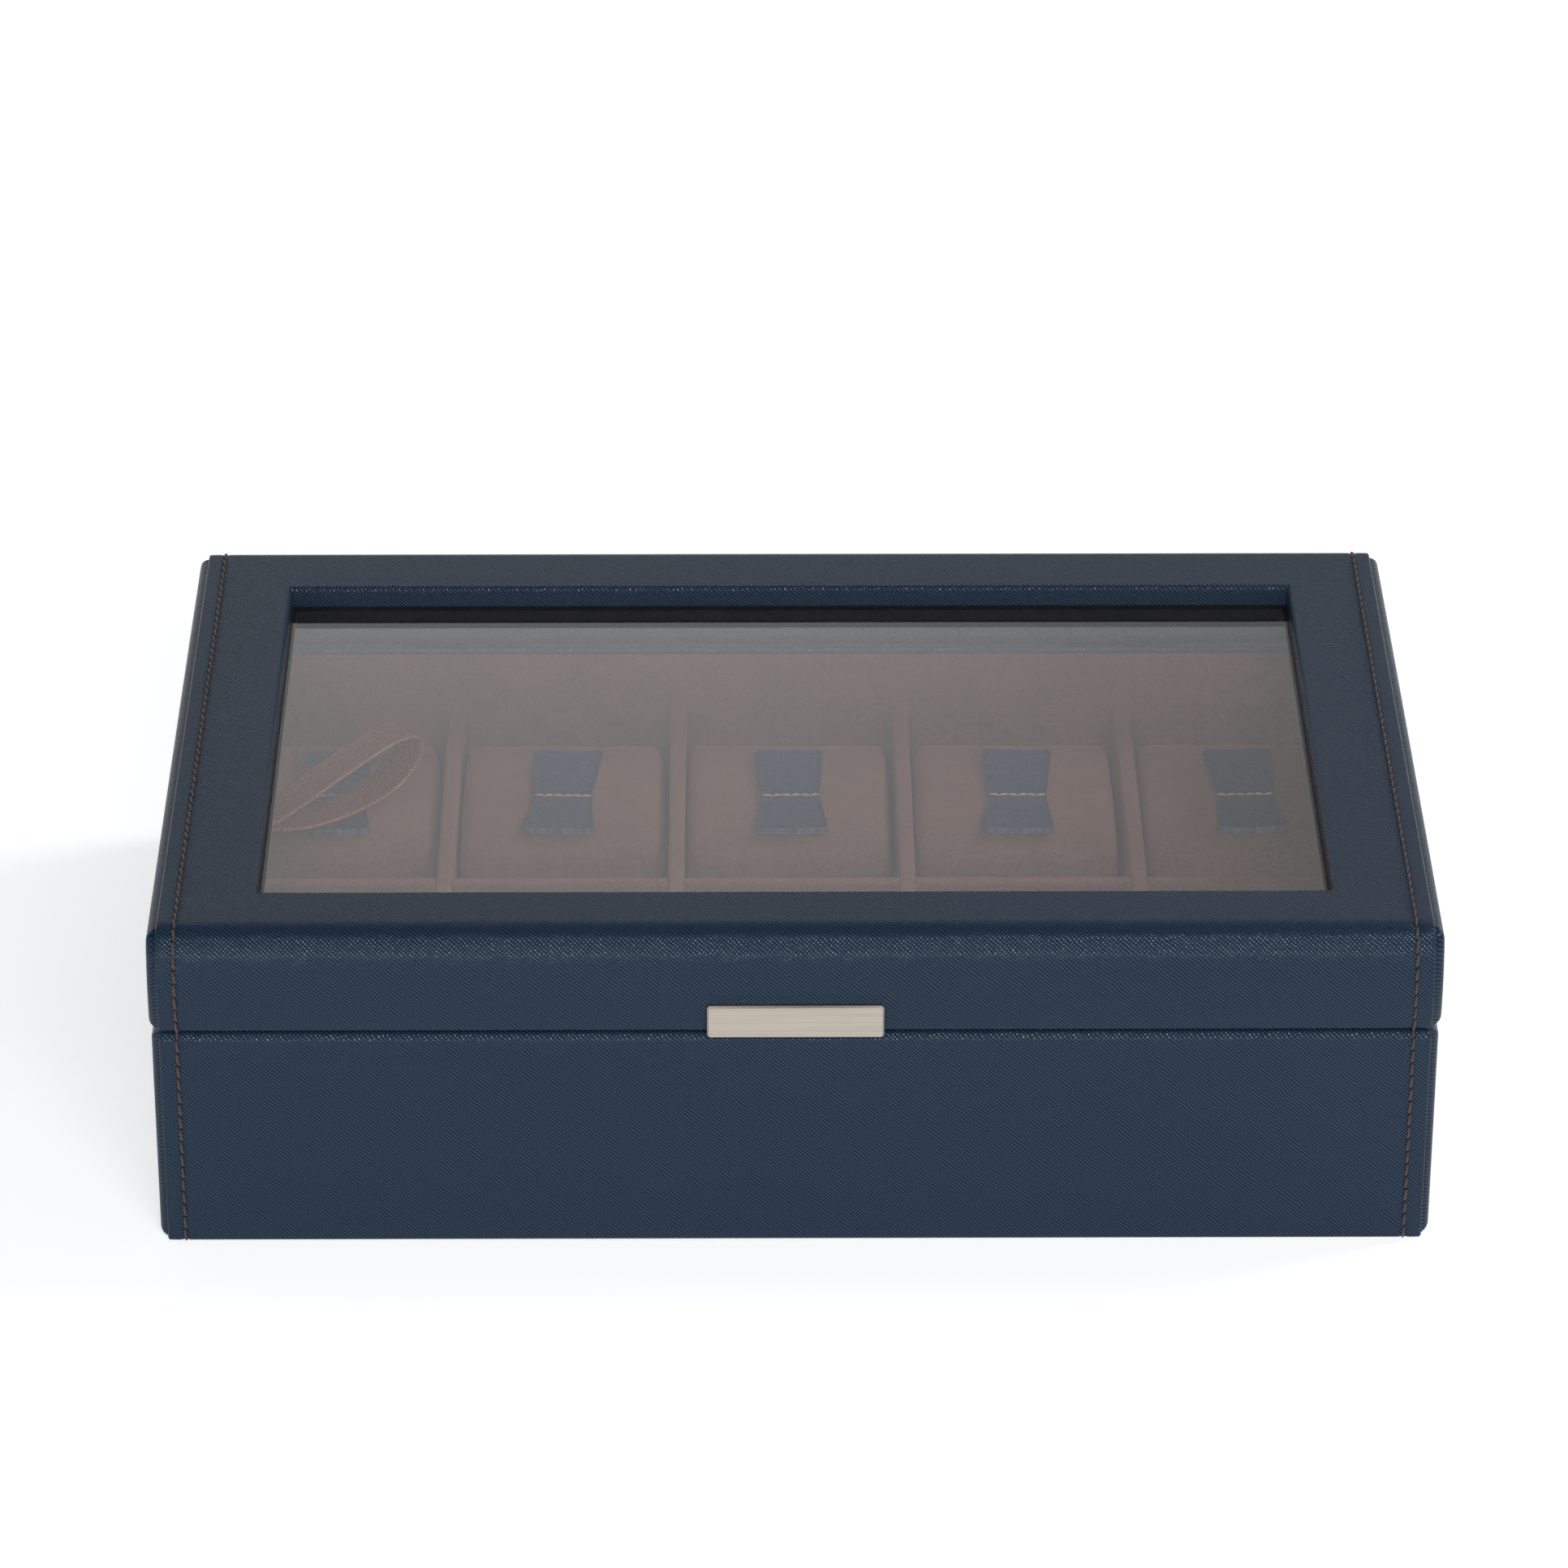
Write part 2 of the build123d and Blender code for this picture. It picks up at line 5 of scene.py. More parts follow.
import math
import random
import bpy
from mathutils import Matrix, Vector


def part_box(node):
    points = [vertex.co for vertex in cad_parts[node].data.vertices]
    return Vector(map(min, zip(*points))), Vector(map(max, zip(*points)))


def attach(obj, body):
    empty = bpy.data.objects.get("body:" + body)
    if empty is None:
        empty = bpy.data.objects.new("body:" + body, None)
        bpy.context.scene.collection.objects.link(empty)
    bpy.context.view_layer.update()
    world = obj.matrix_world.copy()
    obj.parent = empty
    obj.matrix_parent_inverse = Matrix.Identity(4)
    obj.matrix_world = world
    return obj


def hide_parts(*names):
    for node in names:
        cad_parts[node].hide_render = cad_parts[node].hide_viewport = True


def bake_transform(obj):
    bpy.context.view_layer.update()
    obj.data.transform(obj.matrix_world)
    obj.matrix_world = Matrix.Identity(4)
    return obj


bl_info = {
    "name": "Watch box dressing",
    "version": (1, 0, 0),
    "blender": (4, 5, 0),
    "location": "View3D > Sidebar > Watch box",
    "description": "Covers the packed watch box in leather, suede, ribbon, glass and stitching",
    "category": "Object",
}

import bmesh
import bpy
from bpy.props import FloatProperty, FloatVectorProperty, IntProperty, PointerProperty
from mathutils import Matrix, Vector, noise

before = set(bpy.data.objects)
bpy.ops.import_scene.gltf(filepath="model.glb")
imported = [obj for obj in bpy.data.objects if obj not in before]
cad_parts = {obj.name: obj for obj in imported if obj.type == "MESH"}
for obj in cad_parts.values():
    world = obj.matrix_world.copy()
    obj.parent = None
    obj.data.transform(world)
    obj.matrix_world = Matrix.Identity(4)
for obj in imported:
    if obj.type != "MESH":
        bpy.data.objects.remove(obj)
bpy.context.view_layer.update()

COLUMNS = 5
ROWS = 2
WELD = 2e-6  # Points nearer than this become one, and places nearer than this count as the same


def length(value, text):
    """A length in metres as an add-on property."""
    return FloatProperty(name=text, default=value, unit="LENGTH", precision=5)


# Sizes
class LeatherSizes(bpy.types.PropertyGroup):
    sheet: length(0.0012, "Thickness of the leather")
    crown_radius: length(0.044, "Radius of the lid's front")
    crown_height: length(0.0675, "Height of the lid's most forward line")
    roll: length(0.008, "Rounding of the lid's front top")
    back_rounding: length(0.004, "Rounding of the lid's back top")
    back_foot: length(0.002, "Rounding of the lid's back foot")
    foot: length(0.001, "Rounding of the covers' feet")
    rim: length(0.0025, "Rounding of the base's rim")
    base_lip: length(0.0016, "Height of the base's turned-in lip")
    lid_lip: length(0.0064, "Height of the lid's turned-in lip")
    wall: length(0.0075, "Thickness of a covered wall")
    lining: length(0.0013, "Thickness of the lining")
    window_rounding: length(0.0012, "Rounding of the window's edge")
    glass_seat: length(0.0058, "How far the glass reaches under the window's edge")
    pad_rounding: length(0.0024, "Rounding of the padded sides")
    pad_crown: length(0.0003, "Extra fullness in the middle of a padded side")


class StitchSizes(bpy.types.PropertyGroup):
    inset: length(0.0043, "Seam's distance from the cover's side edge")
    pitch: length(0.0035, "From one stitch to the next")
    stitch: length(0.0034, "Length of one stitch")
    radius: length(0.00032, "Radius of the thread")
    groove: length(0.00022, "Depth of the seam's groove")
    groove_width: length(0.0008, "Half width of the seam's groove")


class CushionSizes(bpy.types.PropertyGroup):
    shrink: length(0.0004, "How much smaller the cover starts before it is filled")
    voxel: length(0.0024, "Spacing of the simulated cover's points")
    cap: length(0.0010, "Farthest that a point may swell")
    side_rounding: length(0.0065, "Rounding along the cushion")
    end_rounding: length(0.0016, "Rounding at the cushion's ends")
    side_play: length(0.0011, "Room between a cushion's side and the divider")
    frames: IntProperty(name="Steps of the simulation", default=20)


class TabSizes(bpy.types.PropertyGroup):
    length: length(0.0420, "Length of a pull tab")
    end_width: length(0.0177, "Width at its ends")
    waist_width: length(0.0143, "Width at its waist")
    waist_forward: length(0.0020, "How far its waist is in front of its middle")
    layer: length(0.0008, "Thickness of one of its two layers")
    split: length(0.00012, "Gap between the layers at the cut edge")
    corner: length(0.0016, "Rounding of its corners")
    front_lift: length(0.0011, "Lift of its front end")
    back_lift: length(0.0005, "Lift of its back end")


class RibbonSizes(bpy.types.PropertyGroup):
    width: length(0.010, "Width of the ribbon")
    thickness: length(0.00045, "Thickness of the ribbon")
    reach: length(0.050, "Unit of its loop's shares")
    wall_gap: length(0.0004, "Distance of its tails from the wall")
    end_gap: length(0.0008, "Distance of its upper end from the glass frame")
    bead: length(0.00006, "Depth of the beads on its edges")
    bead_pitch: length(0.00085, "From one bead to the next")


class StageSizes(bpy.types.PropertyGroup):
    focal_length: FloatProperty(name="Focal length in millimetres", default=158.16)
    sensor: FloatProperty(name="Sensor width in millimetres", default=36.0)
    camera_place: FloatVectorProperty(name="Camera", default=(-0.0135, -1.4916, 0.8926))
    camera_pitch: FloatProperty(name="Camera's tilt down", default=28.89)
    camera_yaw: FloatProperty(name="Camera's turn", default=0.44)
    camera_roll: FloatProperty(name="Camera's roll", default=0.10)
    floor: length(6.0, "Side of the floor")


SIZES = {
    "leather": LeatherSizes,
    "stitches": StitchSizes,
    "cushions": CushionSizes,
    "tabs": TabSizes,
    "ribbon": RibbonSizes,
    "stage": StageSizes,
}


def sizes(group):
    """The named group of sizes of the open scene."""
    return getattr(bpy.context.scene.watch_box, group)


def node_box(node):
    """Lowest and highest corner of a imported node."""
    low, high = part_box(node)
    return Vector(low), Vector(high)


def place_object(name, data):
    """A new object with this data, in the open scene."""
    made = bpy.data.objects.new(name, data)
    bpy.context.scene.collection.objects.link(made)
    return made


def toned(colour, factor):
    """A colour made lighter or darker by a factor."""
    return tuple(min(1.0, factor * c) for c in colour[:3]) + (1.0,)


# Mesh tools
class Outline:
    """A path in a plane, made of straight runs and arcs. It keeps its running length and its normals."""

    def __init__(self, start):
        self.points = [Vector(start)]

    def line(self, end, steps=1):
        """Goes straight to end."""
        start = self.points[-1].copy()
        for k in range(1, steps + 1):
            self.points.append(start.lerp(Vector(end), k / steps))
        return self

    def arc(self, centre, radius, first, last, steps=8):
        """Goes round centre, from the angle first to the angle last in degrees."""
        for k in range(steps + 1):
            angle = math.radians(first + (last - first) * k / steps)
            place = Vector(centre) + radius * Vector((math.cos(angle), math.sin(angle)))
            if (place - self.points[-1]).length > 1e-6:
                self.points.append(place)
        return self

    def lengths(self):
        """Running length at each point."""
        total = [0.0]
        for a, b in zip(self.points, self.points[1:]):
            total.append(total[-1] + (b - a).length)
        return total

    def normals(self):
        """Unit normal to the left of the path at each point."""
        out = []
        last = len(self.points) - 1
        for k in range(last + 1):
            ahead = self.points[min(k + 1, last)] - self.points[k]
            behind = self.points[k] - self.points[max(k - 1, 0)]
            tangent = ahead.normalized() + behind.normalized()
            tangent.normalize()
            out.append(Vector((-tangent.y, tangent.x)))
        return out

    def at(self, distance):
        """Point, tangent and left normal at a running length."""
        total = self.lengths()
        for k in range(len(total) - 1):
            if total[k + 1] >= distance or k == len(total) - 2:
                run = self.points[k + 1] - self.points[k]
                share = (distance - total[k]) / max(run.length, 1e-9)
                normals = self.normals()
                normal = normals[k].lerp(normals[k + 1], min(max(share, 0), 1)).normalized()
                return self.points[k].lerp(self.points[k + 1], share), run.normalized(), normal
        raise ValueError("the distance lies past the outline's end")


class Skin:
    """Collects a mesh from grids of points. Every corner also gets its place on the flat material."""

    def __init__(self):
        self.mesh = bmesh.new()
        self.flat = self.mesh.loops.layers.uv.new("Flat")

    def grid(self, points, flat, keep=None, flip=False, material=0):
        """Adds a grid. keep(i, j) says which of its faces are made."""
        rows = [[self.mesh.verts.new(p) for p in row] for row in points]
        for j in range(len(rows) - 1):
            for i in range(len(rows[j]) - 1):
                if keep and not keep(i, j):
                    continue
                corners = [(j, i), (j, i + 1), (j + 1, i + 1), (j + 1, i)]
                if flip:
                    corners.reverse()
                face = self.mesh.faces.new([rows[a][b] for a, b in corners])
                face.smooth = True
                face.material_index = material
                for loop, (a, b) in zip(face.loops, corners):
                    loop[self.flat].uv = flat[a][b]
        return rows

    def finish(self, name, materials, sharp=None):
        """Welds the grids, and returns them as an object. sharp(edge) says which edges stay hard."""
        bmesh.ops.remove_doubles(self.mesh, verts=self.mesh.verts, dist=WELD)
        loose = [v for v in self.mesh.verts if not v.link_faces]
        bmesh.ops.delete(self.mesh, geom=loose, context="VERTS")
        if sharp:
            for edge in self.mesh.edges:
                edge.smooth = not sharp(edge)
        data = bpy.data.meshes.new(name)
        self.mesh.to_mesh(data)
        self.mesh.free()
        for material in materials:
            data.materials.append(material)
        return place_object(name, data)


def settle(piece, body, slot, *nodes):
    """Puts a finished piece on its body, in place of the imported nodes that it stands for."""
    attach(piece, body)
    if nodes:
        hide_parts(*nodes)
    return piece


def finish_node(node, material):
    """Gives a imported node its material."""
    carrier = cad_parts[node]
    for place in carrier.material_slots:
        place.material = material
    if not carrier.material_slots:
        carrier.data.materials.append(material)


# Shader tools
class Graph:
    """Short forms for making and linking shader nodes."""

    def __init__(self, tree):
        self.tree = tree

    def add(self, kind, inputs=None, **fields):
        """A node with its fields set and its inputs fed."""
        item = self.tree.nodes.new(kind)
        for field, value in fields.items():
            setattr(item, field, value)
        for key, value in (inputs or {}).items():
            self.feed(item.inputs[key], value)
        return item

    def feed(self, socket, value):
        """Links a socket, or sets its value."""
        if isinstance(value, bpy.types.NodeSocket):
            self.tree.links.new(value, socket)
        else:
            socket.default_value = value

    def math(self, operation, a, b=0.0, c=0.0):
        """Result of one calculation."""
        return self.add("ShaderNodeMath", {0: a, 1: b, 2: c}, operation=operation).outputs[0]

    def vector(self, operation, a, b=(0.0, 0.0, 0.0), scale=1.0):
        """Vector result of one calculation."""
        return self.add("ShaderNodeVectorMath", {0: a, 1: b, 3: scale}, operation=operation).outputs["Vector"]

    def dot(self, a, b):
        """Dot product."""
        return self.add("ShaderNodeVectorMath", {0: a, 1: b}, operation="DOT_PRODUCT").outputs["Value"]

    def noise(self, vector, scale, detail=2.0, roughness=0.5):
        """Soft noise from 0 to 1."""
        inputs = {"Vector": vector, "Scale": scale, "Detail": detail, "Roughness": roughness}
        return self.add("ShaderNodeTexNoise", inputs).outputs["Fac"]

    def remap(self, value, low, high, to_low=0.0, to_high=1.0):
        """Value carried smoothly from one range to another."""
        inputs = {"Value": value, "From Min": low, "From Max": high, "To Min": to_low, "To Max": to_high}
        return self.add("ShaderNodeMapRange", inputs, interpolation_type="SMOOTHSTEP").outputs["Result"]

    def blend(self, share, a, b):
        """Colour between a and b."""
        item = self.add("ShaderNodeMix", data_type="RGBA")
        self.feed(item.inputs["Factor"], share)
        self.feed(item.inputs["A"], a)
        self.feed(item.inputs["B"], b)
        return item.outputs["Result"]

    def parts(self, vector):
        """A vector's X, Y and Z."""
        return self.add("ShaderNodeSeparateXYZ", {"Vector": vector}).outputs

    def ridges(self, place, pitch=1.0):
        """Rounded ridges from 0 to 1, a pitch apart."""
        turns = self.math("MULTIPLY", place, math.pi / pitch)
        return self.math("ABSOLUTE", self.math("SINE", turns))

    def paint(self, shader, colour, height, depth, strength=1.0):
        """Gives a Principled shader its colour, and the bump of a height from 0 to 1."""
        bump = self.add("ShaderNodeBump", {"Height": height, "Distance": depth, "Strength": strength})
        self.feed(shader.inputs["Base Color"], colour)
        self.feed(shader.inputs["Normal"], bump.outputs["Normal"])


def effect(name, inputs, outputs, build):
    """A shared shader group. build(graph, group inputs) returns its outputs by name."""
    if name in bpy.data.node_groups:
        return bpy.data.node_groups[name]
    tree = bpy.data.node_groups.new(name, "ShaderNodeTree")
    for label, kind in inputs.items():
        tree.interface.new_socket(label, in_out="INPUT", socket_type=kind)
    for label, kind in outputs.items():
        tree.interface.new_socket(label, in_out="OUTPUT", socket_type=kind)
    graph = Graph(tree)
    entry = graph.add("NodeGroupInput")
    result = graph.add("NodeGroupOutput")
    for label, value in build(graph, entry.outputs).items():
        graph.feed(result.inputs[label], value)
    return tree


def use(graph, tree, inputs):
    """A shared group placed in a material."""
    item = graph.add("ShaderNodeGroup")
    item.node_tree = tree
    for label, value in inputs.items():
        graph.feed(item.inputs[label], value)
    return item.outputs


def material(name, build, **surface):
    """A material on one Principled shader. build(graph, shader) adds detail; surface sets plain sockets."""
    if name in bpy.data.materials:
        return bpy.data.materials[name]
    made = bpy.data.materials.new(name)
    made.use_nodes = True
    made.node_tree.nodes.clear()
    graph = Graph(made.node_tree)
    shader = graph.add("ShaderNodeBsdfPrincipled")
    for label, value in surface.items():
        shader.inputs[label.replace("_", " ")].default_value = value
    output = graph.add("ShaderNodeOutputMaterial")
    last = build(graph, shader) or shader.outputs["BSDF"]
    graph.feed(output.inputs["Surface"], last)
    return made


# The leather's two families of grooves: slant in degrees, pitch in millimetres, and sharpness
GRAIN_FAMILIES = ((48.0, 0.66, 0.55), (-40.0, 0.78, 0.8))
NEEDLE_HOLE = (0.00025, 0.00055)  # Radius where a needle hole's painted shade is full, and where it ends

VECTOR = "NodeSocketVector"
NUMBER = "NodeSocketFloat"
COLOUR = "NodeSocketColor"


def cross_grain():
    """Two families of fine slanting grooves, which leave rows of small lozenges between them."""

    def build(graph, given):
        place = graph.vector("SCALE", given["Place"], scale=1000.0)  # Millimetres from here on
        drift = graph.noise(place, 0.22, 1.0)
        drift = graph.math("MULTIPLY_ADD", drift, 1.1, -0.55)
        heights = []
        for slant, pitch, sharpness in GRAIN_FAMILIES:
            across = (math.sin(math.radians(slant)) / pitch, -math.cos(math.radians(slant)) / pitch, 0.0)
            ridge = graph.ridges(graph.math("ADD", graph.dot(place, across), drift))
            heights.append(graph.math("POWER", ridge, sharpness))
        lozenge = graph.math("MULTIPLY", heights[0], heights[1])
        uneven = graph.math("MULTIPLY_ADD", graph.noise(place, 1.7, 1.0), 0.8, 0.55)
        height = graph.math("MULTIPLY", lozenge, uneven)
        return {"Height": height, "Crest": graph.remap(height, 0.2, 0.85)}

    return effect("Cross grain", {"Place": VECTOR}, {"Height": NUMBER, "Crest": NUMBER}, build)


def seam_holes(seam):
    """Needle holes along a strap's two seams, painted near-black as the shade inside them. seam is their
    distance from its middle.
    """
    s = sizes("stitches")

    def build(graph, given):
        parts = graph.parts(given["Place"])
        from_middle = graph.math("ABSOLUTE", parts["X"])
        from_seam = graph.math("ABSOLUTE", graph.math("SUBTRACT", from_middle, seam))
        along = graph.math("DIVIDE", parts["Y"], s.pitch)
        off_hole = graph.math("MULTIPLY", graph.math("PINGPONG", along, 0.5), s.pitch)
        offset = graph.add("ShaderNodeCombineXYZ", {"X": from_seam, "Y": off_hole}).outputs[0]
        distance = graph.add("ShaderNodeVectorMath", {0: offset}, operation="LENGTH").outputs["Value"]
        return {"Hole": graph.remap(distance, *NEEDLE_HOLE, 1.0, 0.0)}

    return effect("Seam holes", {"Place": VECTOR}, {"Hole": NUMBER}, build)


def nap():
    """Brushed fibres of suede: soft patches, streaks and a fine fuzz."""

    def build(graph, given):
        place = given["Place"]
        patches = graph.noise(place, 60.0, 3.0, 0.6)
        streaks = graph.noise(graph.vector("MULTIPLY", place, (1.0, 3.2, 1.0)), 240.0, 3.0, 0.65)
        fuzz = graph.noise(place, 1500.0, 2.0, 0.6)
        soft = graph.math("MULTIPLY_ADD", patches, 0.3, graph.math("MULTIPLY", streaks, 0.15))
        shade = graph.math("MULTIPLY_ADD", fuzz, 0.55, soft)
        height = graph.math("MULTIPLY_ADD", fuzz, 0.75, graph.math("MULTIPLY", streaks, 0.25))
        return {"Shade": graph.remap(shade, 0.37, 0.63), "Height": height}

    return effect("Suede nap", {"Place": VECTOR}, {"Shade": NUMBER, "Height": NUMBER}, build)


def flat_place(graph):
    """Place on the flat material, in metres."""
    return graph.add("ShaderNodeUVMap", uv_map="Flat").outputs["UV"]


def solid_place(graph):
    """Place in the object's own frame, in metres."""
    return graph.add("ShaderNodeTexCoord").outputs["Object"]


# The deep blue is painted into the grain's grooves: painted shade, darker than the crests
LEATHER_GROOVE_SHADE = (0.0065, 0.0155, 0.0310, 1.0)
LEATHER_BODY = (0.0255, 0.0565, 0.1050, 1.0)
LEATHER_DYE = (0.0285, 0.0585, 0.1030, 1.0)
TAB_BODY = (0.0300, 0.0720, 0.2000, 1.0)
TAB_DYE = (0.0360, 0.0760, 0.1900, 1.0)
EDGE_PAINT = (0.100, 0.150, 0.210, 1.0)
SUEDE_DARK = (0.120, 0.054, 0.045, 1.0)
SUEDE_LIGHT = (0.184, 0.087, 0.073, 1.0)
# Suede darkened nearly to black: painted shade under the window's edge, partly the glass frame's own dark
# fabric
SHADE_SUEDE_DARK = (0.007, 0.0045, 0.0042, 1.0)
SHADE_SUEDE_LIGHT = (0.017, 0.011, 0.010, 1.0)
# Shaded and lit tones of each thread: painted shade between the plies and painted highlight on their crests
THREAD_SHADED = (0.022, 0.009, 0.006, 1.0)
THREAD_LIT = (0.100, 0.040, 0.027, 1.0)
TAB_THREAD_SHADED = (0.24, 0.10, 0.07, 1.0)
TAB_THREAD_LIT = (0.75, 0.42, 0.32, 1.0)
RIBBON_DARK = (0.070, 0.015, 0.009, 1.0)
# Bright copper painted on as the ribbon's glints and the highlights of its edge's beads
RIBBON_HIGHLIGHT = (0.52, 0.19, 0.12, 1.0)
NICKEL = (0.52, 0.465, 0.405, 1.0)
HINGE_BRONZE = (0.060, 0.050, 0.042, 1.0)
BOARD_BROWN = (0.30, 0.20, 0.12, 1.0)
FELT_BLACK = (0.012, 0.012, 0.014, 1.0)
# Near-black painted into the needle holes as the shade inside them
HOLE_SHADE_BLACK = (0.002, 0.002, 0.003, 1.0)


def leather(name="Navy leather", seam=None, body=LEATHER_BODY, dye=LEATHER_DYE):
    """Cross-grained leather, with painted shade in the grain's grooves and in the needle holes. seam is the
    distance of a stitched seam from the middle, if it has one.
    """

    def build(graph, shader):
        place = flat_place(graph)
        grain = use(graph, cross_grain(), {"Place": place})
        cloudy = graph.noise(place, 22.0, 3.0, 0.55)
        dyed = graph.blend(graph.remap(cloudy, 0.3, 0.7), body, dye)
        # Grooves take the deep blue and crests the dyed blue: painted shade in the grain's grooves
        colour = graph.blend(grain["Crest"], LEATHER_GROOVE_SHADE, dyed)
        height = grain["Height"]
        if seam:
            holes = use(graph, seam_holes(seam), {"Place": place})
            # Needle holes are painted near-black as painted shade, and sunk by the bump
            colour = graph.blend(holes["Hole"], colour, HOLE_SHADE_BLACK)
            height = graph.math("SUBTRACT", height, graph.math("MULTIPLY", holes["Hole"], 1.6))
        worn = graph.math("MULTIPLY_ADD", graph.noise(place, 9.0, 2.0), 0.06, 0.19)
        graph.feed(shader.inputs["Roughness"], worn)
        graph.paint(shader, colour, height, 0.00010)

    return material(name, build, Specular_IOR_Level=0.15)


def cut_edge():
    """Painted cut edge of leather, with the line between its layers."""

    def build(graph, shader):
        place = flat_place(graph)
        rough = graph.noise(place, 900.0, 3.0, 0.6)
        colour = graph.blend(graph.remap(rough, 0.35, 0.75), LEATHER_DYE, EDGE_PAINT)
        graph.paint(shader, colour, rough, 0.00006)

    return material("Leather edge", build, Roughness=0.45)


def suede(name="Brown suede", dark=SUEDE_DARK, light=SUEDE_LIGHT):
    """Soft suede between two colours."""

    def build(graph, shader):
        fibres = use(graph, nap(), {"Place": solid_place(graph)})
        graph.paint(shader, graph.blend(fibres["Shade"], dark, light), fibres["Height"], 0.00022, 0.9)

    return material(
        name,
        build,
        Roughness=1.0,
        Specular_IOR_Level=0.15,
        Sheen_Weight=0.3,
        Sheen_Roughness=0.6,
        Sheen_Tint=toned(light, 4.6),
    )


def thread(name, dark, light):
    """Twisted thread: slanting plies, painted lighter on their crests and darker between them as painted
    highlight and shade.
    """

    def build(graph, shader):
        parts = graph.parts(flat_place(graph))
        ply = graph.ridges(graph.math("MULTIPLY_ADD", parts["X"], 2.6, parts["Y"]))
        lint = graph.noise(solid_place(graph), 3500.0, 2.0)
        # Ply crests painted lit and the grooves shaded: painted highlight and shade, varied by random lint
        shade = graph.math("MULTIPLY", graph.math("POWER", ply, 0.7), graph.remap(lint, 0.2, 0.7, 0.55, 1.0))
        graph.paint(shader, graph.blend(shade, dark, light), ply, 0.00012)

    return material(name, build, Roughness=0.55, Sheen_Weight=0.2)


RIB_PITCH = 0.00042
WARP_PITCH = 0.00034
CORDED_EDGE = (0.0011, 0.0007)  # Where the corded edge begins and is full, from the ribbon's side


def ribbon_satin():
    """Satin ribbon: fine ribs across it and a corded edge along each side. Sparse copper glints on the ribs
    and on the edge's beads are painted into its colour as highlights.
    """

    def build(graph, shader):
        s = sizes("ribbon")
        place = flat_place(graph)
        parts = graph.parts(place)
        rib = graph.ridges(parts["Y"], RIB_PITCH)
        warp = graph.ridges(parts["X"], WARP_PITCH)
        bead = graph.ridges(parts["Y"], s.bead_pitch)
        from_middle = graph.math("ABSOLUTE", parts["X"])
        at_edge = graph.remap(from_middle, *(s.width / 2 - inset for inset in CORDED_EDGE))
        weave = graph.math("MULTIPLY_ADD", rib, 0.7, graph.math("MULTIPLY", warp, 0.3))
        woven = graph.math("MULTIPLY", weave, graph.math("SUBTRACT", 1.0, at_edge))
        corded = graph.math("MULTIPLY", graph.math("MULTIPLY", bead, at_edge), 2.2)
        height = graph.math("ADD", woven, corded)
        # Painted glints: sparse bright flecks on the rib crests, painted into the colour as highlights
        glint = graph.noise(graph.vector("MULTIPLY", place, (1.0, 2.5, 1.0)), 1500.0, 2.0)
        shade = graph.math("MULTIPLY", graph.remap(glint, 0.44, 0.74), graph.math("POWER", weave, 0.6))
        # Painted highlight on the beads of the corded edges
        painted_bead_highlight = graph.math("MULTIPLY", graph.math("MULTIPLY", at_edge, bead), 0.55)
        shade = graph.math("MAXIMUM", shade, painted_bead_highlight)
        graph.paint(shader, graph.blend(shade, RIBBON_DARK, RIBBON_HIGHLIGHT), height, 0.00008)

    return material(
        "Satin ribbon",
        build,
        Roughness=0.36,
        Specular_IOR_Level=0.35,
        Specular_Tint=(1.0, 0.62, 0.50, 1.0),
    )


def brushed_metal(name, tone):
    """Metal of one tone, brushed along its length."""

    def build(graph, shader):
        place = solid_place(graph)
        strokes = graph.noise(graph.vector("MULTIPLY", place, (14.0, 900.0, 2600.0)), 1.0, 4.0, 0.65)
        fine = graph.noise(graph.vector("MULTIPLY", place, (60.0, 2500.0, 9000.0)), 1.0, 2.0, 0.6)
        mixed = graph.math("MULTIPLY_ADD", strokes, 0.6, graph.math("MULTIPLY", fine, 0.4))
        graph.feed(shader.inputs["Roughness"], graph.math("MULTIPLY_ADD", mixed, 0.14, 0.24))
        colour = graph.blend(graph.remap(mixed, 0.35, 0.68), toned(tone, 0.80), tone)
        graph.paint(shader, colour, mixed, 0.00002, 0.6)

    return material(name, build, Metallic=1.0, Anisotropic=0.4)


def clear_glass():
    """Window glass. It lets the light through to the suede, and reflects what stands behind the box."""

    def build(graph, shader):
        smears = graph.noise(solid_place(graph), 14.0, 2.0)
        graph.feed(shader.inputs["Roughness"], graph.math("MULTIPLY_ADD", smears, 0.012, 0.004))
        path = graph.add("ShaderNodeLightPath").outputs
        through = graph.math("MAXIMUM", path["Is Shadow Ray"], path["Is Diffuse Ray"])
        open_air = graph.add("ShaderNodeBsdfTransparent", {"Color": (0.93, 0.95, 0.945, 1.0)}).outputs[0]
        mix = graph.add("ShaderNodeMixShader")
        graph.feed(mix.inputs[0], through)
        graph.feed(mix.inputs[1], shader.outputs["BSDF"])
        graph.feed(mix.inputs[2], open_air)
        return mix.outputs[0]

    return material(
        "Clear glass",
        build,
        Base_Color=(0.985, 0.98, 0.98, 1.0),
        Transmission_Weight=1.0,
        IOR=1.52,
    )


def raw_board():
    """Raw fibreboard of the hidden boards."""

    def build(graph, shader):
        place = solid_place(graph)
        fibres = graph.noise(graph.vector("MULTIPLY", place, (1.0, 2.0, 5.0)), 420.0, 4.0, 0.7)
        graph.paint(shader, graph.blend(fibres, BOARD_BROWN, toned(BOARD_BROWN, 1.35)), fibres, 0.0001)

    return material("Raw board", build, Roughness=0.85)


def felt():
    """Short black felt of the underside."""

    def build(graph, shader):
        tufts = graph.noise(solid_place(graph), 1400.0, 3.0, 0.7)
        colour = graph.blend(graph.remap(tufts, 0.35, 0.7), FELT_BLACK, toned(FELT_BLACK, 3.0))
        graph.paint(shader, colour, tufts, 0.0002)

    return material("Black felt", build, Roughness=1.0, Sheen_Weight=0.3)


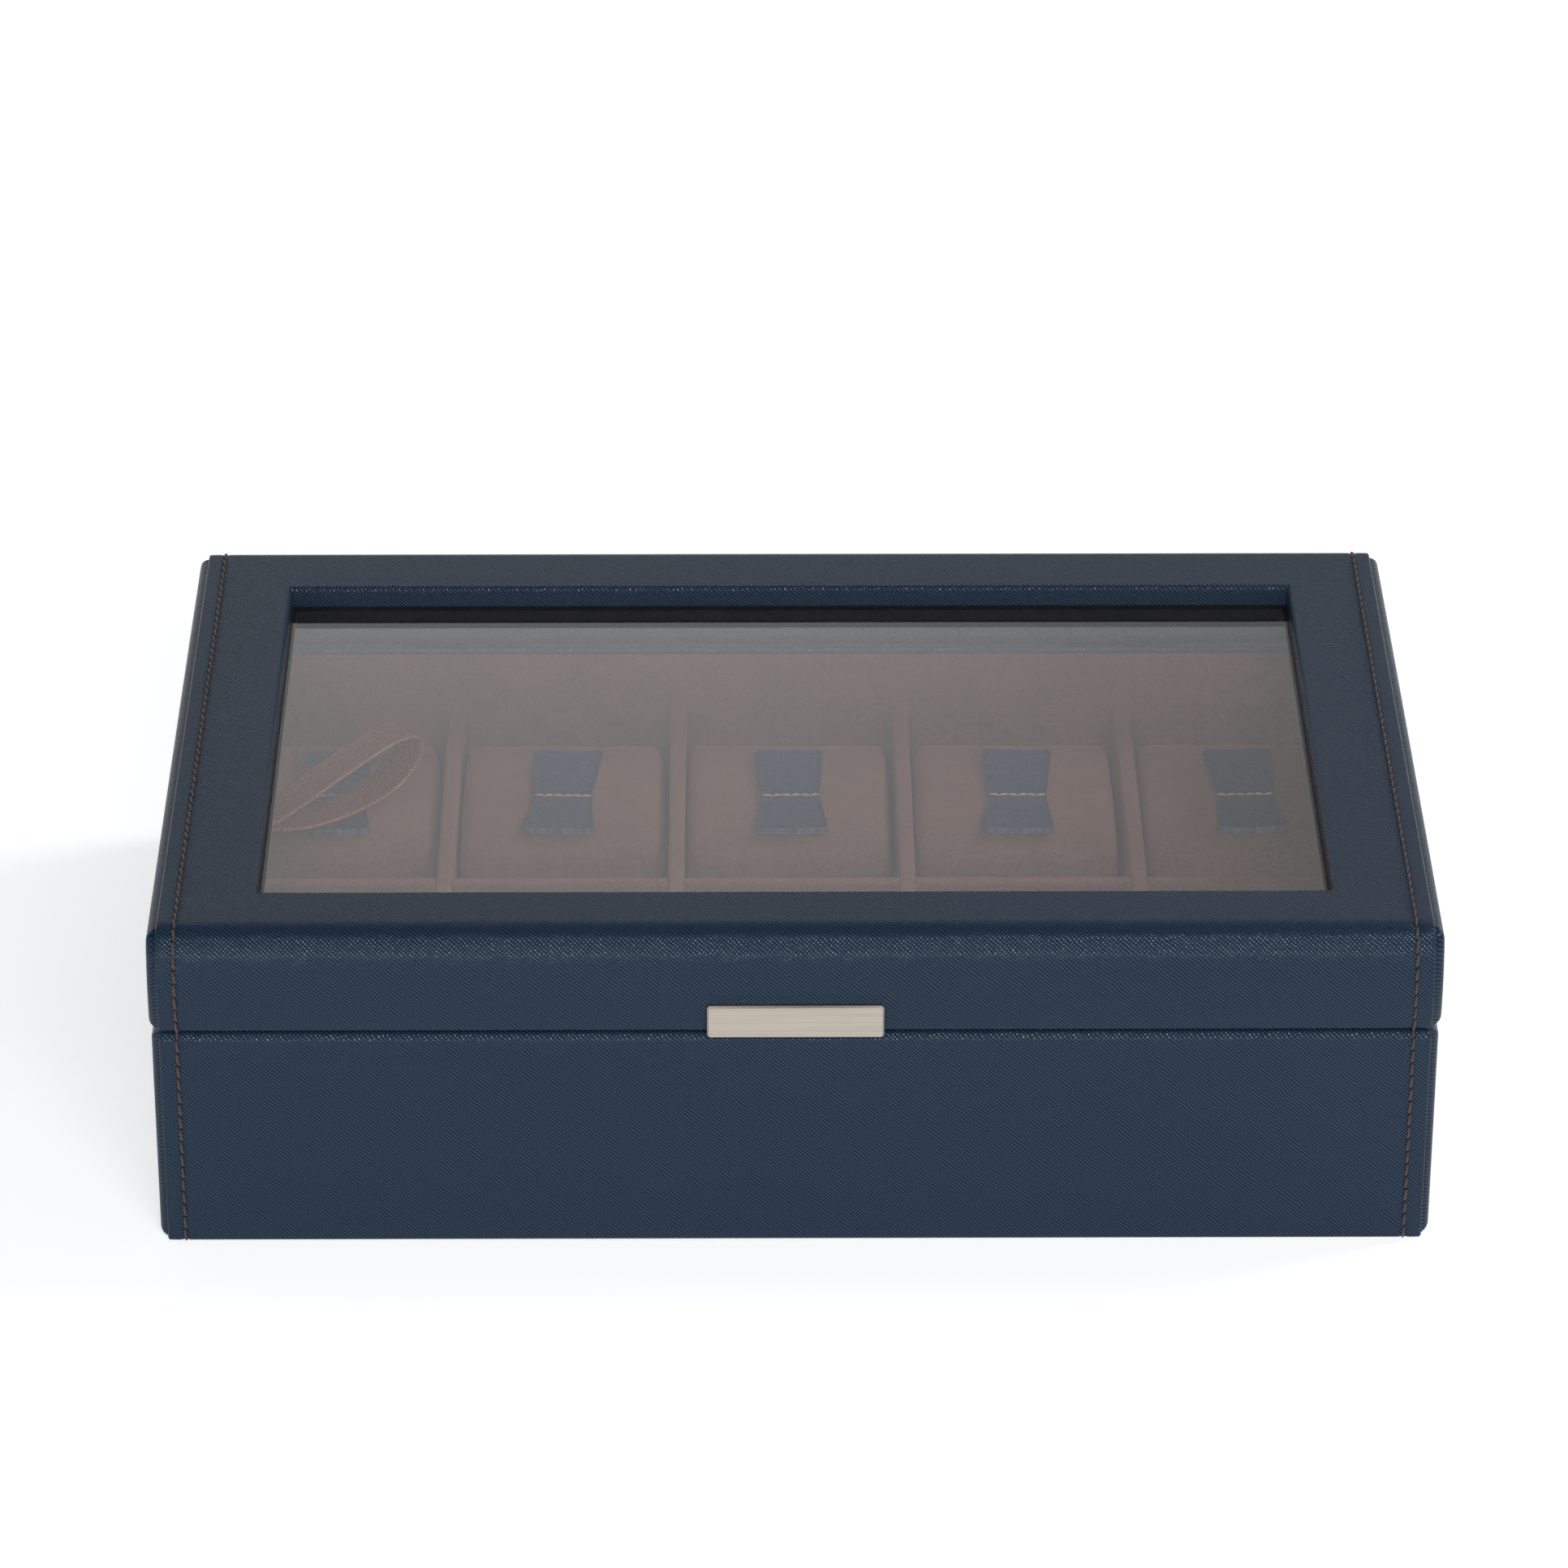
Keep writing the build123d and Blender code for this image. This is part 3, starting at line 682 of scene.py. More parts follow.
# Leather covers
SEAM_FLAT_END = 0.0016  # The strap is plain between its seam's groove and this far from its side
SIDE_ROUNDING = 0.0007  # Rounding of the strap's cut side
SIDE_TUCK = 0.0002  # How far its side goes down past the sheet's thickness
PAD_START = 0.0011  # How far inside the strap's side a padded side starts
RIM_END = 0.0009  # How far inside the strap's side the leather over a rim ends


def seam_distance():
    """Distance of the stitched seams from the middle of the box."""
    return node_box("lid_leather")[1].x - sizes("stitches").inset


def strap_columns(half_width, middle):
    """Places across a strap, each with its depth under the outer face. middle holds the inner places."""
    s = sizes("stitches")
    seam = half_width - s.inset
    right = []
    for k in range(-4, 5):
        x = seam + k * s.groove_width / 2
        dip = s.groove * math.exp(-((k / 1.8) ** 2))
        right.append((x, dip))
    right.append((half_width - SEAM_FLAT_END, 0.0))
    edge = SIDE_ROUNDING
    for k in range(1, 6):
        angle = math.radians(90 * k / 5)
        right.append((half_width - edge + edge * math.sin(angle), edge * (1 - math.cos(angle))))
    right.append((half_width, sizes("leather").sheet + SIDE_TUCK))
    left = [(-x, dip) for x, dip in reversed(right)]
    return left + [(x, 0.0) for x in middle] + right


def strap(skin, outline, columns, keep=None):
    """A strap of leather that follows an outline in the YZ plane, with its grain running along it."""
    normals = outline.normals()
    along = outline.lengths()
    points = []
    flat = []
    for place, normal, run in zip(outline.points, normals, along):
        points.append([Vector((x, *(place - normal * dip))) for x, dip in columns])
        flat.append([(x, run) for x, dip in columns])
    skin.grid(points, flat, keep=keep, flip=True)


def lid_outline():
    """Outline of the lid's strap, from its front lip over the top to its back lip."""
    s = sizes("leather")
    low, high = node_box("lid_leather")
    front, back, foot, top = low.y, high.y, low.z, high.z
    inner_front = -(high.y - s.wall)
    inner_back = high.y - s.wall
    window = window_half_sizes()
    crown = Vector((front + s.crown_radius, s.crown_height))
    roll_z = top - s.roll
    reach = s.crown_radius - s.roll
    roll_y = crown.x - math.sqrt(reach**2 - (roll_z - crown.y) ** 2)
    roll_angle = math.degrees(math.atan2(roll_z - crown.y, roll_y - crown.x))
    foot_z = foot + s.foot
    foot_angle = 180 + math.degrees(math.asin((crown.y - foot_z) / s.crown_radius))
    foot_y = crown.x - math.sqrt(s.crown_radius**2 - (crown.y - foot_z) ** 2) + s.foot
    ring = s.window_rounding
    path = Outline((inner_front - s.lining, foot + s.lid_lip))
    path.line((inner_front, foot + s.lid_lip))
    path.line((inner_front, foot + s.foot))
    path.arc((inner_front - s.foot, foot + s.foot), s.foot, 0, -90, 4)
    path.line((foot_y, foot), 2)
    path.arc((foot_y, foot_z), s.foot, 270, 190, 5)
    path.arc(crown, s.crown_radius, foot_angle, roll_angle % 360, 16)
    path.arc((roll_y, roll_z), s.roll, roll_angle % 360, 90, 18)
    path.line((-window.y - ring, top), 3)
    path.line((window.y + ring, top), 20)
    path.line((back - s.back_rounding, top), 3)
    path.arc((back - s.back_rounding, top - s.back_rounding), s.back_rounding, 90, 0, 10)
    path.line((back, foot + s.back_foot), 5)
    path.arc((back - s.back_foot, foot + s.back_foot), s.back_foot, 0, -90, 6)
    path.line((inner_back + s.foot, foot), 2)
    path.arc((inner_back + s.foot, foot + s.foot), s.foot, 270, 180, 4)
    path.line((inner_back, foot + s.lid_lip))
    path.line((inner_back + s.lining, foot + s.lid_lip))
    return path


def window_half_sizes():
    """Half the window's opening in each direction, from the glass that reaches under its edge."""
    glass = node_box("window_glass")[1]
    seat = sizes("leather").glass_seat
    return Vector((glass.x - seat, glass.y - seat))


def window_edge(skin, across, along, top, low):
    """Rounded edge and inner wall of the window, mitred at its four corners."""
    s = sizes("leather")
    half = window_half_sizes()
    r = s.window_rounding
    angles = [math.radians(a) for a in range(0, 91, 10)]
    section = [(r - r * math.sin(a), top - r + r * math.cos(a)) for a in angles]
    section.append((0.0, low))
    runs = [0.0]
    for (d0, z0), (d1, z1) in zip(section, section[1:]):
        runs.append(runs[-1] + math.hypot(d1 - d0, z1 - z0))
    outer = Vector((half.x + r, half.y + r))
    for side in (-1, 1):
        points = []
        flat = []
        for (out, z), run in zip(section, runs):
            scale = (half.y + out) / outer.y
            points.append([Vector((side * (half.x + out), y * scale, z)) for y in along])
            flat.append([(side * (outer.x - run), y) for y in along])
        skin.grid(points, flat, flip=side > 0)
        points = []
        flat = []
        for (out, z), run in zip(section, runs):
            scale = (half.x + out) / outer.x
            points.append([Vector((x * scale, side * (half.y + out), z)) for x in across])
            flat.append([(x, side * (outer.y - run)) for x in across])
        skin.grid(points, flat, flip=side < 0)


def make_lid_strap():
    """The leather over the lid's front, top and back, with its window."""
    s = sizes("leather")
    high = node_box("lid_leather")[1]
    half = window_half_sizes()
    ring = half + Vector((s.window_rounding, s.window_rounding))
    steps = 26
    across = [-ring.x + 2 * ring.x * k / steps for k in range(steps + 1)]
    middle = [-ring.x - 0.006] + across + [ring.x + 0.006]
    columns = strap_columns(high.x, middle)
    outline = lid_outline()
    top = high.z

    def keep(i, j):
        x = (columns[i][0] + columns[i + 1][0]) / 2
        y = (outline.points[j].x + outline.points[j + 1].x) / 2
        z = min(outline.points[j].y, outline.points[j + 1].y)
        return not (abs(x) < ring.x and abs(y) < ring.y and z > top - 1e-6)

    skin = Skin()
    strap(skin, outline, columns, keep)
    along = [p.x for p in outline.points if abs(p.y - top) < 1e-6 and abs(p.x) < ring.y + 1e-6]
    glass_top = node_box("window_glass")[1].z
    window_edge(skin, across, along, top, glass_top)

    def mitre(edge):
        a, b = (v.co for v in edge.verts)
        corner = all(abs((abs(p.x) - half.x) - (abs(p.y) - half.y)) < WELD for p in (a, b))
        inside = all(abs(p.x) < ring.x + WELD and abs(p.y) < ring.y + WELD for p in (a, b))
        return corner and inside and abs(a.z - b.z) > 1e-7

    piece = skin.finish("lid_cover", [leather("Navy leather with seam", seam_distance())], mitre)
    return settle(piece, "lid", "navy_leather", "lid_leather")


def base_outline(node, front):
    """Outline of the base's front or back strap, from its lip over the rim and down to under the foot."""
    s = sizes("leather")
    low, high = node_box(node)
    outer = low.y if front else -high.y
    inner = outer + s.wall
    top = high.z
    path = Outline((inner - s.lining, top - s.base_lip))
    path.line((inner, top - s.base_lip))
    path.line((inner, top - s.foot))
    path.arc((inner - s.foot, top - s.foot), s.foot, 0, 90, 5)
    path.line((outer + s.rim, top), 2)
    path.arc((outer + s.rim, top - s.rim), s.rim, 90, 180, 10)
    path.line((outer, s.foot), 12)
    path.arc((outer + s.foot, s.foot), s.foot, 180, 270, 5)
    path.line((inner - s.lining, 0.0), 2)
    return path


def make_base_strap(node, name, front):
    """The leather of the base's front or back."""
    high = node_box(node)[1]
    middle = [high.x * k / 10 for k in range(-9, 10)]
    columns = strap_columns(high.x, middle)
    outline = base_outline(node, front)
    skin = Skin()
    normals = outline.normals()
    points = []
    flat = []
    turn = 1 if front else -1
    for place, normal, run in zip(outline.points, normals, outline.lengths()):
        row = []
        for x, dip in columns:
            lies = place + normal * dip
            row.append(Vector((x, turn * lies.x, lies.y)))
        points.append(row)
        flat.append([(turn * x, -run) for x, dip in columns])
    skin.grid(points, flat, flip=not front)
    piece = skin.finish(name, [leather("Navy leather with seam", seam_distance())])
    return settle(piece, "base", "navy_leather", node)


def pad_panel(skin, side, y_range, z_range, inner_x, outer_x, outline=None):
    """A padded side: full in the middle and rolled in at its edges. outline(y, z) limits it to a shape."""
    s = sizes("leather")
    steps_y = 60
    steps_z = 22
    r = s.pad_rounding

    def spaced(low, high, steps):
        """Places from low to high, closer together near both ends."""
        ends = [r * (1 - math.cos(math.radians(a))) for a in range(0, 90, 15)]
        inner = [low + r + (high - low - 2 * r) * k / steps for k in range(steps + 1)]
        return [low + e for e in ends] + inner + [high - e for e in reversed(ends)]

    def fullness(y, z):
        """How far the pad stands out, from 0 at its edge to 1."""
        gap = min(y - y_range[0], y_range[1] - y, z - z_range[0], z_range[1] - z)
        if gap >= r:
            return 1.0
        return math.sqrt(max(0.0, 1 - (1 - gap / r) ** 2))

    ys = spaced(*y_range, steps_y)
    zs = spaced(*z_range, steps_z)
    depth = outer_x - inner_x
    middle = Vector(((y_range[0] + y_range[1]) / 2, (z_range[0] + z_range[1]) / 2))
    points = []
    flat = []
    for z in zs:
        row = []
        for y in ys:
            centre_y = (y - middle.x) / (y_range[1] - y_range[0]) * 2
            centre_z = (z - middle.y) / (z_range[1] - z_range[0]) * 2
            crown = s.pad_crown * (1 - centre_y**2) * (1 - centre_z**2)
            x = inner_x + (depth + crown) * fullness(y, z)
            place = outline(y, z) if outline else (y, z)
            row.append(Vector((side * x, *place)))
        points.append(row)
        flat.append([(side * y, z) for y in ys])
    skin.grid(points, flat, flip=side > 0)


def rim_strip(skin, side, profile, y_half):
    """The side leather's turn over a rim, as a profile in the XZ plane carried along the wall."""
    ys = [-y_half + 2 * y_half * k / 24 for k in range(25)]
    points = []
    flat = []
    for place, run in zip(profile.points, profile.lengths()):
        points.append([Vector((side * place.x, y, place.y)) for y in ys])
        flat.append([(side * y, run) for y in ys])
    skin.grid(points, flat, flip=side < 0)


def rim_profile(inner, strap_side, rim, lip, up):
    """The side leather's way over a rim, from its lip to the strap. up is 1 at the base and -1 at the lid."""
    s = sizes("leather")
    path = Outline((inner + s.lining, rim - up * lip))
    path.line((inner, rim - up * lip))
    path.line((inner, rim - up * s.foot))
    path.arc((inner + s.foot, rim - up * s.foot), s.foot, 180, 180 - up * 90, 5)
    path.line((strap_side - RIM_END, rim), 2)
    return path


def make_base_pad(side, name, node):
    """The padded leather of one side of the base."""
    s = sizes("leather")
    low, high = node_box(node)
    strap_edge = node_box("base_front_leather")[1].x
    outer = max(abs(low.x), abs(high.x))
    inner = strap_edge - s.wall
    skin = Skin()
    pad_panel(skin, side, (low.y, high.y), (low.z, high.z), strap_edge - PAD_START, outer)
    profile = rim_profile(inner, strap_edge, high.z, s.base_lip, 1)
    rim_strip(skin, side, profile, high.y - s.wall + s.sheet)
    piece = skin.finish(name, [leather()])
    return settle(piece, "base", "navy_leather", node)


def make_lid_pad(side, name, node):
    """The padded leather of one side of the lid, inside the strap's outline."""
    s = sizes("leather")
    low, high = node_box(node)
    strap_low, strap_high = node_box("lid_leather")
    outer = max(abs(low.x), abs(high.x))
    inner = strap_high.x - s.wall
    front = strap_low.y + s.sheet
    crown = Vector((strap_low.y + s.crown_radius, s.crown_height))
    radius = s.crown_radius - s.sheet
    roll = s.roll - s.sheet
    roll_z = high.z - roll
    roll_y = crown.x - math.sqrt((radius - roll) ** 2 - (roll_z - crown.y) ** 2)
    tangent_z = crown.y + (roll_z - crown.y) * radius / (radius - roll)

    def front_at(z):
        """Most forward place of the pad at a height."""
        if z > tangent_z:
            return roll_y - math.sqrt(max(0.0, roll**2 - (z - roll_z) ** 2))
        return crown.x - math.sqrt(radius**2 - (z - crown.y) ** 2)

    def back_at(z):
        """Rearmost place of the pad at a height."""
        r = s.back_rounding - s.sheet
        if z <= high.z - r:
            return high.y
        return high.y - r + math.sqrt(max(0.0, r**2 - (z - high.z + r) ** 2))

    def shaped(y, z):
        share = (y - front) / (high.y - front)
        start, end = front_at(z), back_at(z)
        return start + share * (end - start), z

    skin = Skin()
    pad_panel(skin, side, (front, high.y), (low.z, high.z), strap_high.x - PAD_START, outer, shaped)
    profile = rim_profile(inner, strap_high.x, low.z, s.lid_lip, -1)
    rim_strip(skin, side, profile, strap_high.y - s.wall)
    piece = skin.finish(name, [leather()])
    return settle(piece, "lid", "navy_leather", node)


# Stitching
STITCH_MARGIN = 0.0009  # Least distance of a stitch's middle, less half a pitch, from its seam's end
STITCH_SLANT = 6.0  # Degrees that each stitch is turned from its seam
SPOKES = 8  # Sides of a thread


def thread_tube(skin, middles, radii, out, side):
    """A thread round its middles. Its flat place runs from -1 to 1 along it, and from 0 to 2 round it."""
    angles = [2 * math.pi * j / SPOKES for j in range(SPOKES + 1)]
    points = [
        [middle + (out * math.cos(angle) + side * math.sin(angle)) * radius for angle in angles]
        for middle, radius in zip(middles, radii)
    ]
    last = len(middles) - 1
    flat = [[(2 * k / last - 1, 2 * j / SPOKES) for j in range(SPOKES + 1)] for k in range(last + 1)]
    skin.grid(points, flat)


def add_stitch(skin, centre, along, out, slant):
    """One stitch of twisted thread: it dives into the leather at both ends."""
    s = sizes("stitches")
    sideways = along.cross(out).normalized()
    run = (along * math.cos(slant) + sideways * math.sin(slant)).normalized()
    shares = [2 * k / 8 - 1 for k in range(9)]
    lifts = [s.radius * (1.05 - 1.5 * abs(t) ** 2.6) for t in shares]
    middles = [centre + run * (t * s.stitch / 2) + out * lift for t, lift in zip(shares, lifts)]
    radii = [s.radius * math.sqrt(max(0.02, 1 - abs(t) ** 3.2)) for t in shares]
    thread_tube(skin, middles, radii, out, run.cross(out).normalized())


def stitch_row(skin, outline, x, outside, turn=1, outward=1):
    """Stitches along an outline, between the first and last of its running lengths outside the box."""
    s = sizes("stitches")
    start = math.ceil((outside[0] + STITCH_MARGIN) / s.pitch - 0.5)
    end = math.floor((outside[-1] - STITCH_MARGIN) / s.pitch - 0.5)
    for k in range(start, end + 1):
        place, run, normal = outline.at((k + 0.5) * s.pitch)
        along = Vector((0, turn * run.x, run.y))
        out = outward * Vector((0, turn * normal.x, normal.y))
        centre = Vector((x, turn * place.x, place.y)) - out * s.groove
        add_stitch(skin, centre, along, out, math.radians(STITCH_SLANT) * (1 if x > 0 else -1))


def make_lid_stitching():
    """Both seams of the lid, over its front, top and back."""
    s = sizes("leather")
    outline = lid_outline()
    low, high = node_box("lid_leather")
    inner = high.y - s.wall + s.foot
    outside = [
        run
        for run, p in zip(outline.lengths(), outline.points)
        if p.y > low.z + s.foot / 2 and (abs(p.x) > inner or p.y > low.z + 2 * s.lid_lip)
    ]
    skin = Skin()
    for side in (-1, 1):
        stitch_row(skin, outline, side * seam_distance(), outside)
    piece = skin.finish("lid_stitching", [thread("Brown thread", THREAD_SHADED, THREAD_LIT)])
    return settle(piece, "lid", "navy_leather")


def make_base_stitching():
    """Both seams of the base, down its front and its back."""
    s = sizes("leather")
    skin = Skin()
    for node, front in (("base_front_leather", True), ("base_back_leather", False)):
        outline = base_outline(node, front)
        outer = min(p.x for p in outline.points)
        outside = [
            run
            for run, p in zip(outline.lengths(), outline.points)
            if p.x < outer + s.rim + 1e-6 and p.y > s.foot / 2
        ]
        for side in (-1, 1):
            stitch_row(skin, outline, side * seam_distance(), outside, 1 if front else -1, -1)
    piece = skin.finish("base_stitching", [thread("Brown thread", THREAD_SHADED, THREAD_LIT)])
    return settle(piece, "base", "navy_leather")


# Cushions
LUMP_HEIGHT = 0.0005  # How far a cushion's soft lumps stand out
LUMPS = 38.0  # Lumps in a metre
CROWN_ROOM = 0.0001  # How far a cushion's top may rise over its node


def cushion_blank(size):
    """A rounded block, the cover's shape before it is filled."""
    s = sizes("cushions")
    shape = bmesh.new()
    bmesh.ops.create_cube(shape, size=1.0)
    bmesh.ops.scale(shape, vec=size - Vector((s.shrink, s.shrink, s.shrink)) * 2, verts=shape.verts)
    lengthwise = [e for e in shape.edges if abs(e.verts[0].co.x - e.verts[1].co.x) > 1e-6]
    bmesh.ops.bevel(shape, geom=lengthwise, offset=s.side_rounding, segments=8, profile=0.5, affect="EDGES")
    half = size.x / 2 - s.shrink
    rims = [e for e in shape.edges if all(abs(abs(v.co.x) - half) < 1e-6 for v in e.verts)]
    bmesh.ops.bevel(shape, geom=rims, offset=s.end_rounding, segments=5, profile=0.5, affect="EDGES")
    data = bpy.data.meshes.new("cushion_blank")
    shape.to_mesh(data)
    shape.free()
    return place_object("cushion_blank", data)


def apply_all(piece):
    """Replaces a piece's mesh with its shape after its modifiers."""
    graph = bpy.context.evaluated_depsgraph_get()
    done = bpy.data.meshes.new_from_object(piece.evaluated_get(graph))
    piece.modifiers.clear()
    old = piece.data
    piece.data = done
    bpy.data.meshes.remove(old)


def fill_cushion(blank):
    """Fills the cover by a cloth simulation under pressure, and keeps every point within the cap."""
    s = sizes("cushions")
    scene = bpy.context.scene
    remesh = blank.modifiers.new("Even cover", "REMESH")
    remesh.mode = "VOXEL"
    remesh.voxel_size = s.voxel
    apply_all(blank)
    start = [v.co.copy() for v in blank.data.vertices]
    cloth = blank.modifiers.new("Filling", "CLOTH")
    cloth.settings.use_pressure = True
    cloth.settings.uniform_pressure_force = 4.0
    cloth.settings.mass = 0.3
    cloth.settings.tension_stiffness = 40.0
    cloth.settings.compression_stiffness = 40.0
    cloth.settings.bending_stiffness = 1.5
    cloth.settings.effector_weights.gravity = 0.0
    cloth.point_cache.frame_start = 1
    cloth.point_cache.frame_end = s.frames
    for step in range(1, s.frames + 1):
        scene.frame_set(step)
    apply_all(blank)
    scene.frame_set(1)
    for vertex, before in zip(blank.data.vertices, start):
        moved = vertex.co - before
        if moved.length > s.cap:
            vertex.co = before + moved * (s.cap / moved.length)
    return blank


def make_cushions():
    """Ten filled cushions, each a little different, from one simulated cover."""
    low, high = node_box("cushion_1")
    size = high - low
    blank = fill_cushion(cushion_blank(size))
    s = sizes("cushions")
    limits = size / 2 + Vector((s.side_play / 2, 0.0, 0.0))
    for number in range(1, COLUMNS * ROWS + 1):
        node = f"cushion_{number}"
        low, high = node_box(node)
        centre = (low + high) / 2
        shaper = random.Random(number)
        seed = Vector((shaper.uniform(0, 9), shaper.uniform(0, 9), shaper.uniform(0, 9)))
        centre.x -= shaper.uniform(0.3, 0.7) * s.side_play
        data = blank.data.copy()
        data.name = f"soft_cushion_{number}"
        for vertex in data.vertices:
            soft = noise.noise(vertex.co * LUMPS + seed) * LUMP_HEIGHT
            place = vertex.co + vertex.normal * soft
            place.x = max(-limits.x, min(limits.x, place.x))
            place.z = max(-limits.z, min(limits.z + CROWN_ROOM, place.z))
            vertex.co = place + centre
        for face in data.polygons:
            face.use_smooth = True
        data.materials.clear()
        data.materials.append(suede())
        piece = place_object(f"soft_cushion_{number}", data)
        smooth = piece.modifiers.new("Soft folds", "SMOOTH")
        smooth.iterations = 4
        smooth.factor = 0.5
        finer = piece.modifiers.new("Finer", "SUBSURF")
        finer.levels = 1
        finer.render_levels = 1
        settle(piece, f"watch_cushion_{number}", "suede", node)
    bpy.data.objects.remove(blank)


# Pull tabs
TAB_TURNS = (1.2, -1.6, 0.8, -2.4, 1.8, 0.9, -2.2, 1.4, -1.1, 2.0)  # Degrees that each tab lies askew
TAB_GAP = 0.0002  # From the cushion to a tab's waist
TAB_CURL = 0.00025  # How far the sides of its ends curl up
TAB_SWELL = 0.00010  # How far its cut edge swells
TAB_THREAD = 0.00030  # Radius of its thread
TAB_STITCHES = 6
TAB_ZIGZAG = 0.00022  # How far a stitch's ends lie off the waist's line
EDGE_LEVELS = ((0.0, 0.0), (0.25, 0.8), (0.5, 1.0), (0.75, 0.8), (1.0, 0.0))  # Height and share of the swell


def from_waist(v):
    """Share of the way from a tab's waist, 0, to one of its ends, 1."""
    s = sizes("tabs")
    past = v + s.waist_forward
    reach = s.length / 2 + math.copysign(s.waist_forward, past)
    return abs(past) / reach


def tab_half_width(v):
    """Half the tab's width at v along it: wide ends, a narrow waist and rounded corners."""
    s = sizes("tabs")
    width = (s.waist_width + (s.end_width - s.waist_width) * from_waist(v)) / 2
    past = abs(v) - (s.length / 2 - s.corner)
    if past > 0:
        width -= s.corner - math.sqrt(max(0.0, s.corner**2 - past**2))
    return width


def tab_height(v, u):
    """How far the tab's lower face stands off the cushion at v along it and u across it."""
    s = sizes("tabs")
    share = from_waist(v)
    lift = s.front_lift if v < -s.waist_forward else s.back_lift
    curl = TAB_CURL * u**2
    return TAB_GAP + lift * share**1.7 + curl * share


def tab_rows():
    """Places along a tab, closer together at its rounded corners."""
    s = sizes("tabs")
    half = s.length / 2
    ends = [half - s.corner * (1 - math.sin(math.radians(a))) for a in (90, 65, 45, 25, 0)]
    inner = [(half - s.corner) * k / 9 for k in range(-8, 9)]
    return [-e for e in ends] + inner + list(reversed(ends))


def tab_layer(skin, place, floor, thickness):
    """One layer of leather with its cut edge. place(u, v, z) puts it on the cushion."""
    rows = tab_rows()
    shares = [k / 6 - 1 for k in range(13)]
    top = []
    bottom = []
    flat = []
    for v in rows:
        half = max(tab_half_width(v), 0.0)
        base = [floor + tab_height(v, u) for u in shares]
        top.append([place(u * half, v, z + thickness) for u, z in zip(shares, base)])
        bottom.append([place(u * half, v, z) for u, z in zip(shares, base)])
        flat.append([(u * half, v) for u in shares])
    skin.grid(top, flat)
    skin.grid(bottom, flat, flip=True)
    border = [(j, 0) for j in range(len(rows))]
    border += [(len(rows) - 1, i) for i in range(1, len(shares))]
    border += [(j, len(shares) - 1) for j in range(len(rows) - 2, -1, -1)]
    border += [(0, i) for i in range(len(shares) - 2, -1, -1)]
    centre = place(0, 0, floor)
    edge = []
    for level, out in EDGE_LEVELS:
        ring = []
        for j, i in border:
            spot = bottom[j][i].lerp(top[j][i], level)
            away = (spot - centre) * Vector((1, 1, 0))
            ring.append(spot + away.normalized() * TAB_SWELL * out)
        edge.append(ring)
    places = [[(k * 0.001, level * thickness) for k in range(len(border))] for level, out in EDGE_LEVELS]
    skin.grid(edge, places, material=1)


def tab_stitches(skin, place, top):
    """The thread that holds a tab across its waist."""
    s = sizes("tabs")
    half = s.waist_width / 2
    step = 2 * half / TAB_STITCHES
    out = Vector((0, 0, 1))
    shares = [j / 3 - 1 for j in range(7)]
    radii = [TAB_THREAD * math.sqrt(max(0.05, 1 - abs(t) ** 3)) for t in shares]
    for k in range(TAB_STITCHES):
        u = -half + (k + 0.5) * step
        off = TAB_ZIGZAG * (-1) ** k
        a = place(u - step * 0.52, off - s.waist_forward, top)
        b = place(u + step * 0.52, -off - s.waist_forward, top)
        middles = [a.lerp(b, (t + 1) / 2) + out * TAB_THREAD * (0.7 - 0.8 * abs(t) ** 3) for t in shares]
        thread_tube(skin, middles, radii, out, (b - a).normalized().cross(out).normalized())


def make_tabs():
    """A two-layer leather pull tab on every cushion."""
    s = sizes("tabs")
    for number in range(1, COLUMNS * ROWS + 1):
        node = f"pull_tab_{number}"
        low, high = node_box(node)
        centre = (low + high) / 2
        turn = Matrix.Rotation(math.radians(TAB_TURNS[number - 1]), 3, "Z")

        def place(u, v, z, centre=centre, turn=turn, floor=low.z):
            spot = turn @ Vector((u, v, 0))
            return Vector((centre.x + spot.x, centre.y + spot.y, floor + z))

        skin = Skin()
        tab_layer(skin, place, 0.0, s.layer)
        tab_layer(skin, place, s.layer + s.split, s.layer)
        piece = skin.finish(f"tab_{number}", [leather("Tab leather", None, TAB_BODY, TAB_DYE), cut_edge()])
        settle(piece, f"watch_cushion_{number}", "navy_leather", node)
        threads = Skin()
        tab_stitches(threads, place, TAB_GAP + 2 * s.layer + s.split)
        bright = thread("Bright thread", TAB_THREAD_SHADED, TAB_THREAD_LIT)
        sewn = threads.finish(f"tab_{number}_stitches", [bright])
        settle(sewn, f"watch_cushion_{number}", "navy_leather")


# Ribbon: shares of the reach from the wall and to the back, share of the tail's height over the seam,
# and the turn of its width from the Y axis
RIBBON_STATIONS = (
    (0.0, 0.34, -1.0, 0),
    (0.006, 0.34, -0.74, 0),
    (0.04, 0.32, -0.5, 8),
    (0.12, 0.262, -0.37, 8),
    (0.25, 0.208, -0.36, -4),
    (0.386, 0.262, -0.43, -18),
    (0.518, 0.366, -0.48, -27),
    (0.632, 0.478, -0.5, -33),
    (0.732, 0.59, -0.49, -37),
    (0.812, 0.69, -0.42, -41),
    (0.868, 0.764, -0.28, -44),
    (0.902, 0.808, -0.1, -45),
    (0.914, 0.82, 0.09, -43),
    (0.896, 0.796, 0.26, -39),
    (0.828, 0.726, 0.34, -37),
    (0.728, 0.634, 0.3, -37),
    (0.606, 0.502, 0.22, -36),
    (0.474, 0.34, 0.15, -31),
    (0.35, 0.17, 0.09, -25),
    (0.228, 0.05, 0.0, -18),
    (0.112, 0.036, 0.04, -10),
    (0.03, 0.054, 0.3, -4),
    (0.004, 0.074, 0.64, 0),
    (0.0, 0.08, 1.0, 0),
)


STEPS_PER_STATION = 36
RIBBON_CUP = 0.00018  # How far the ribbon's sides bend up


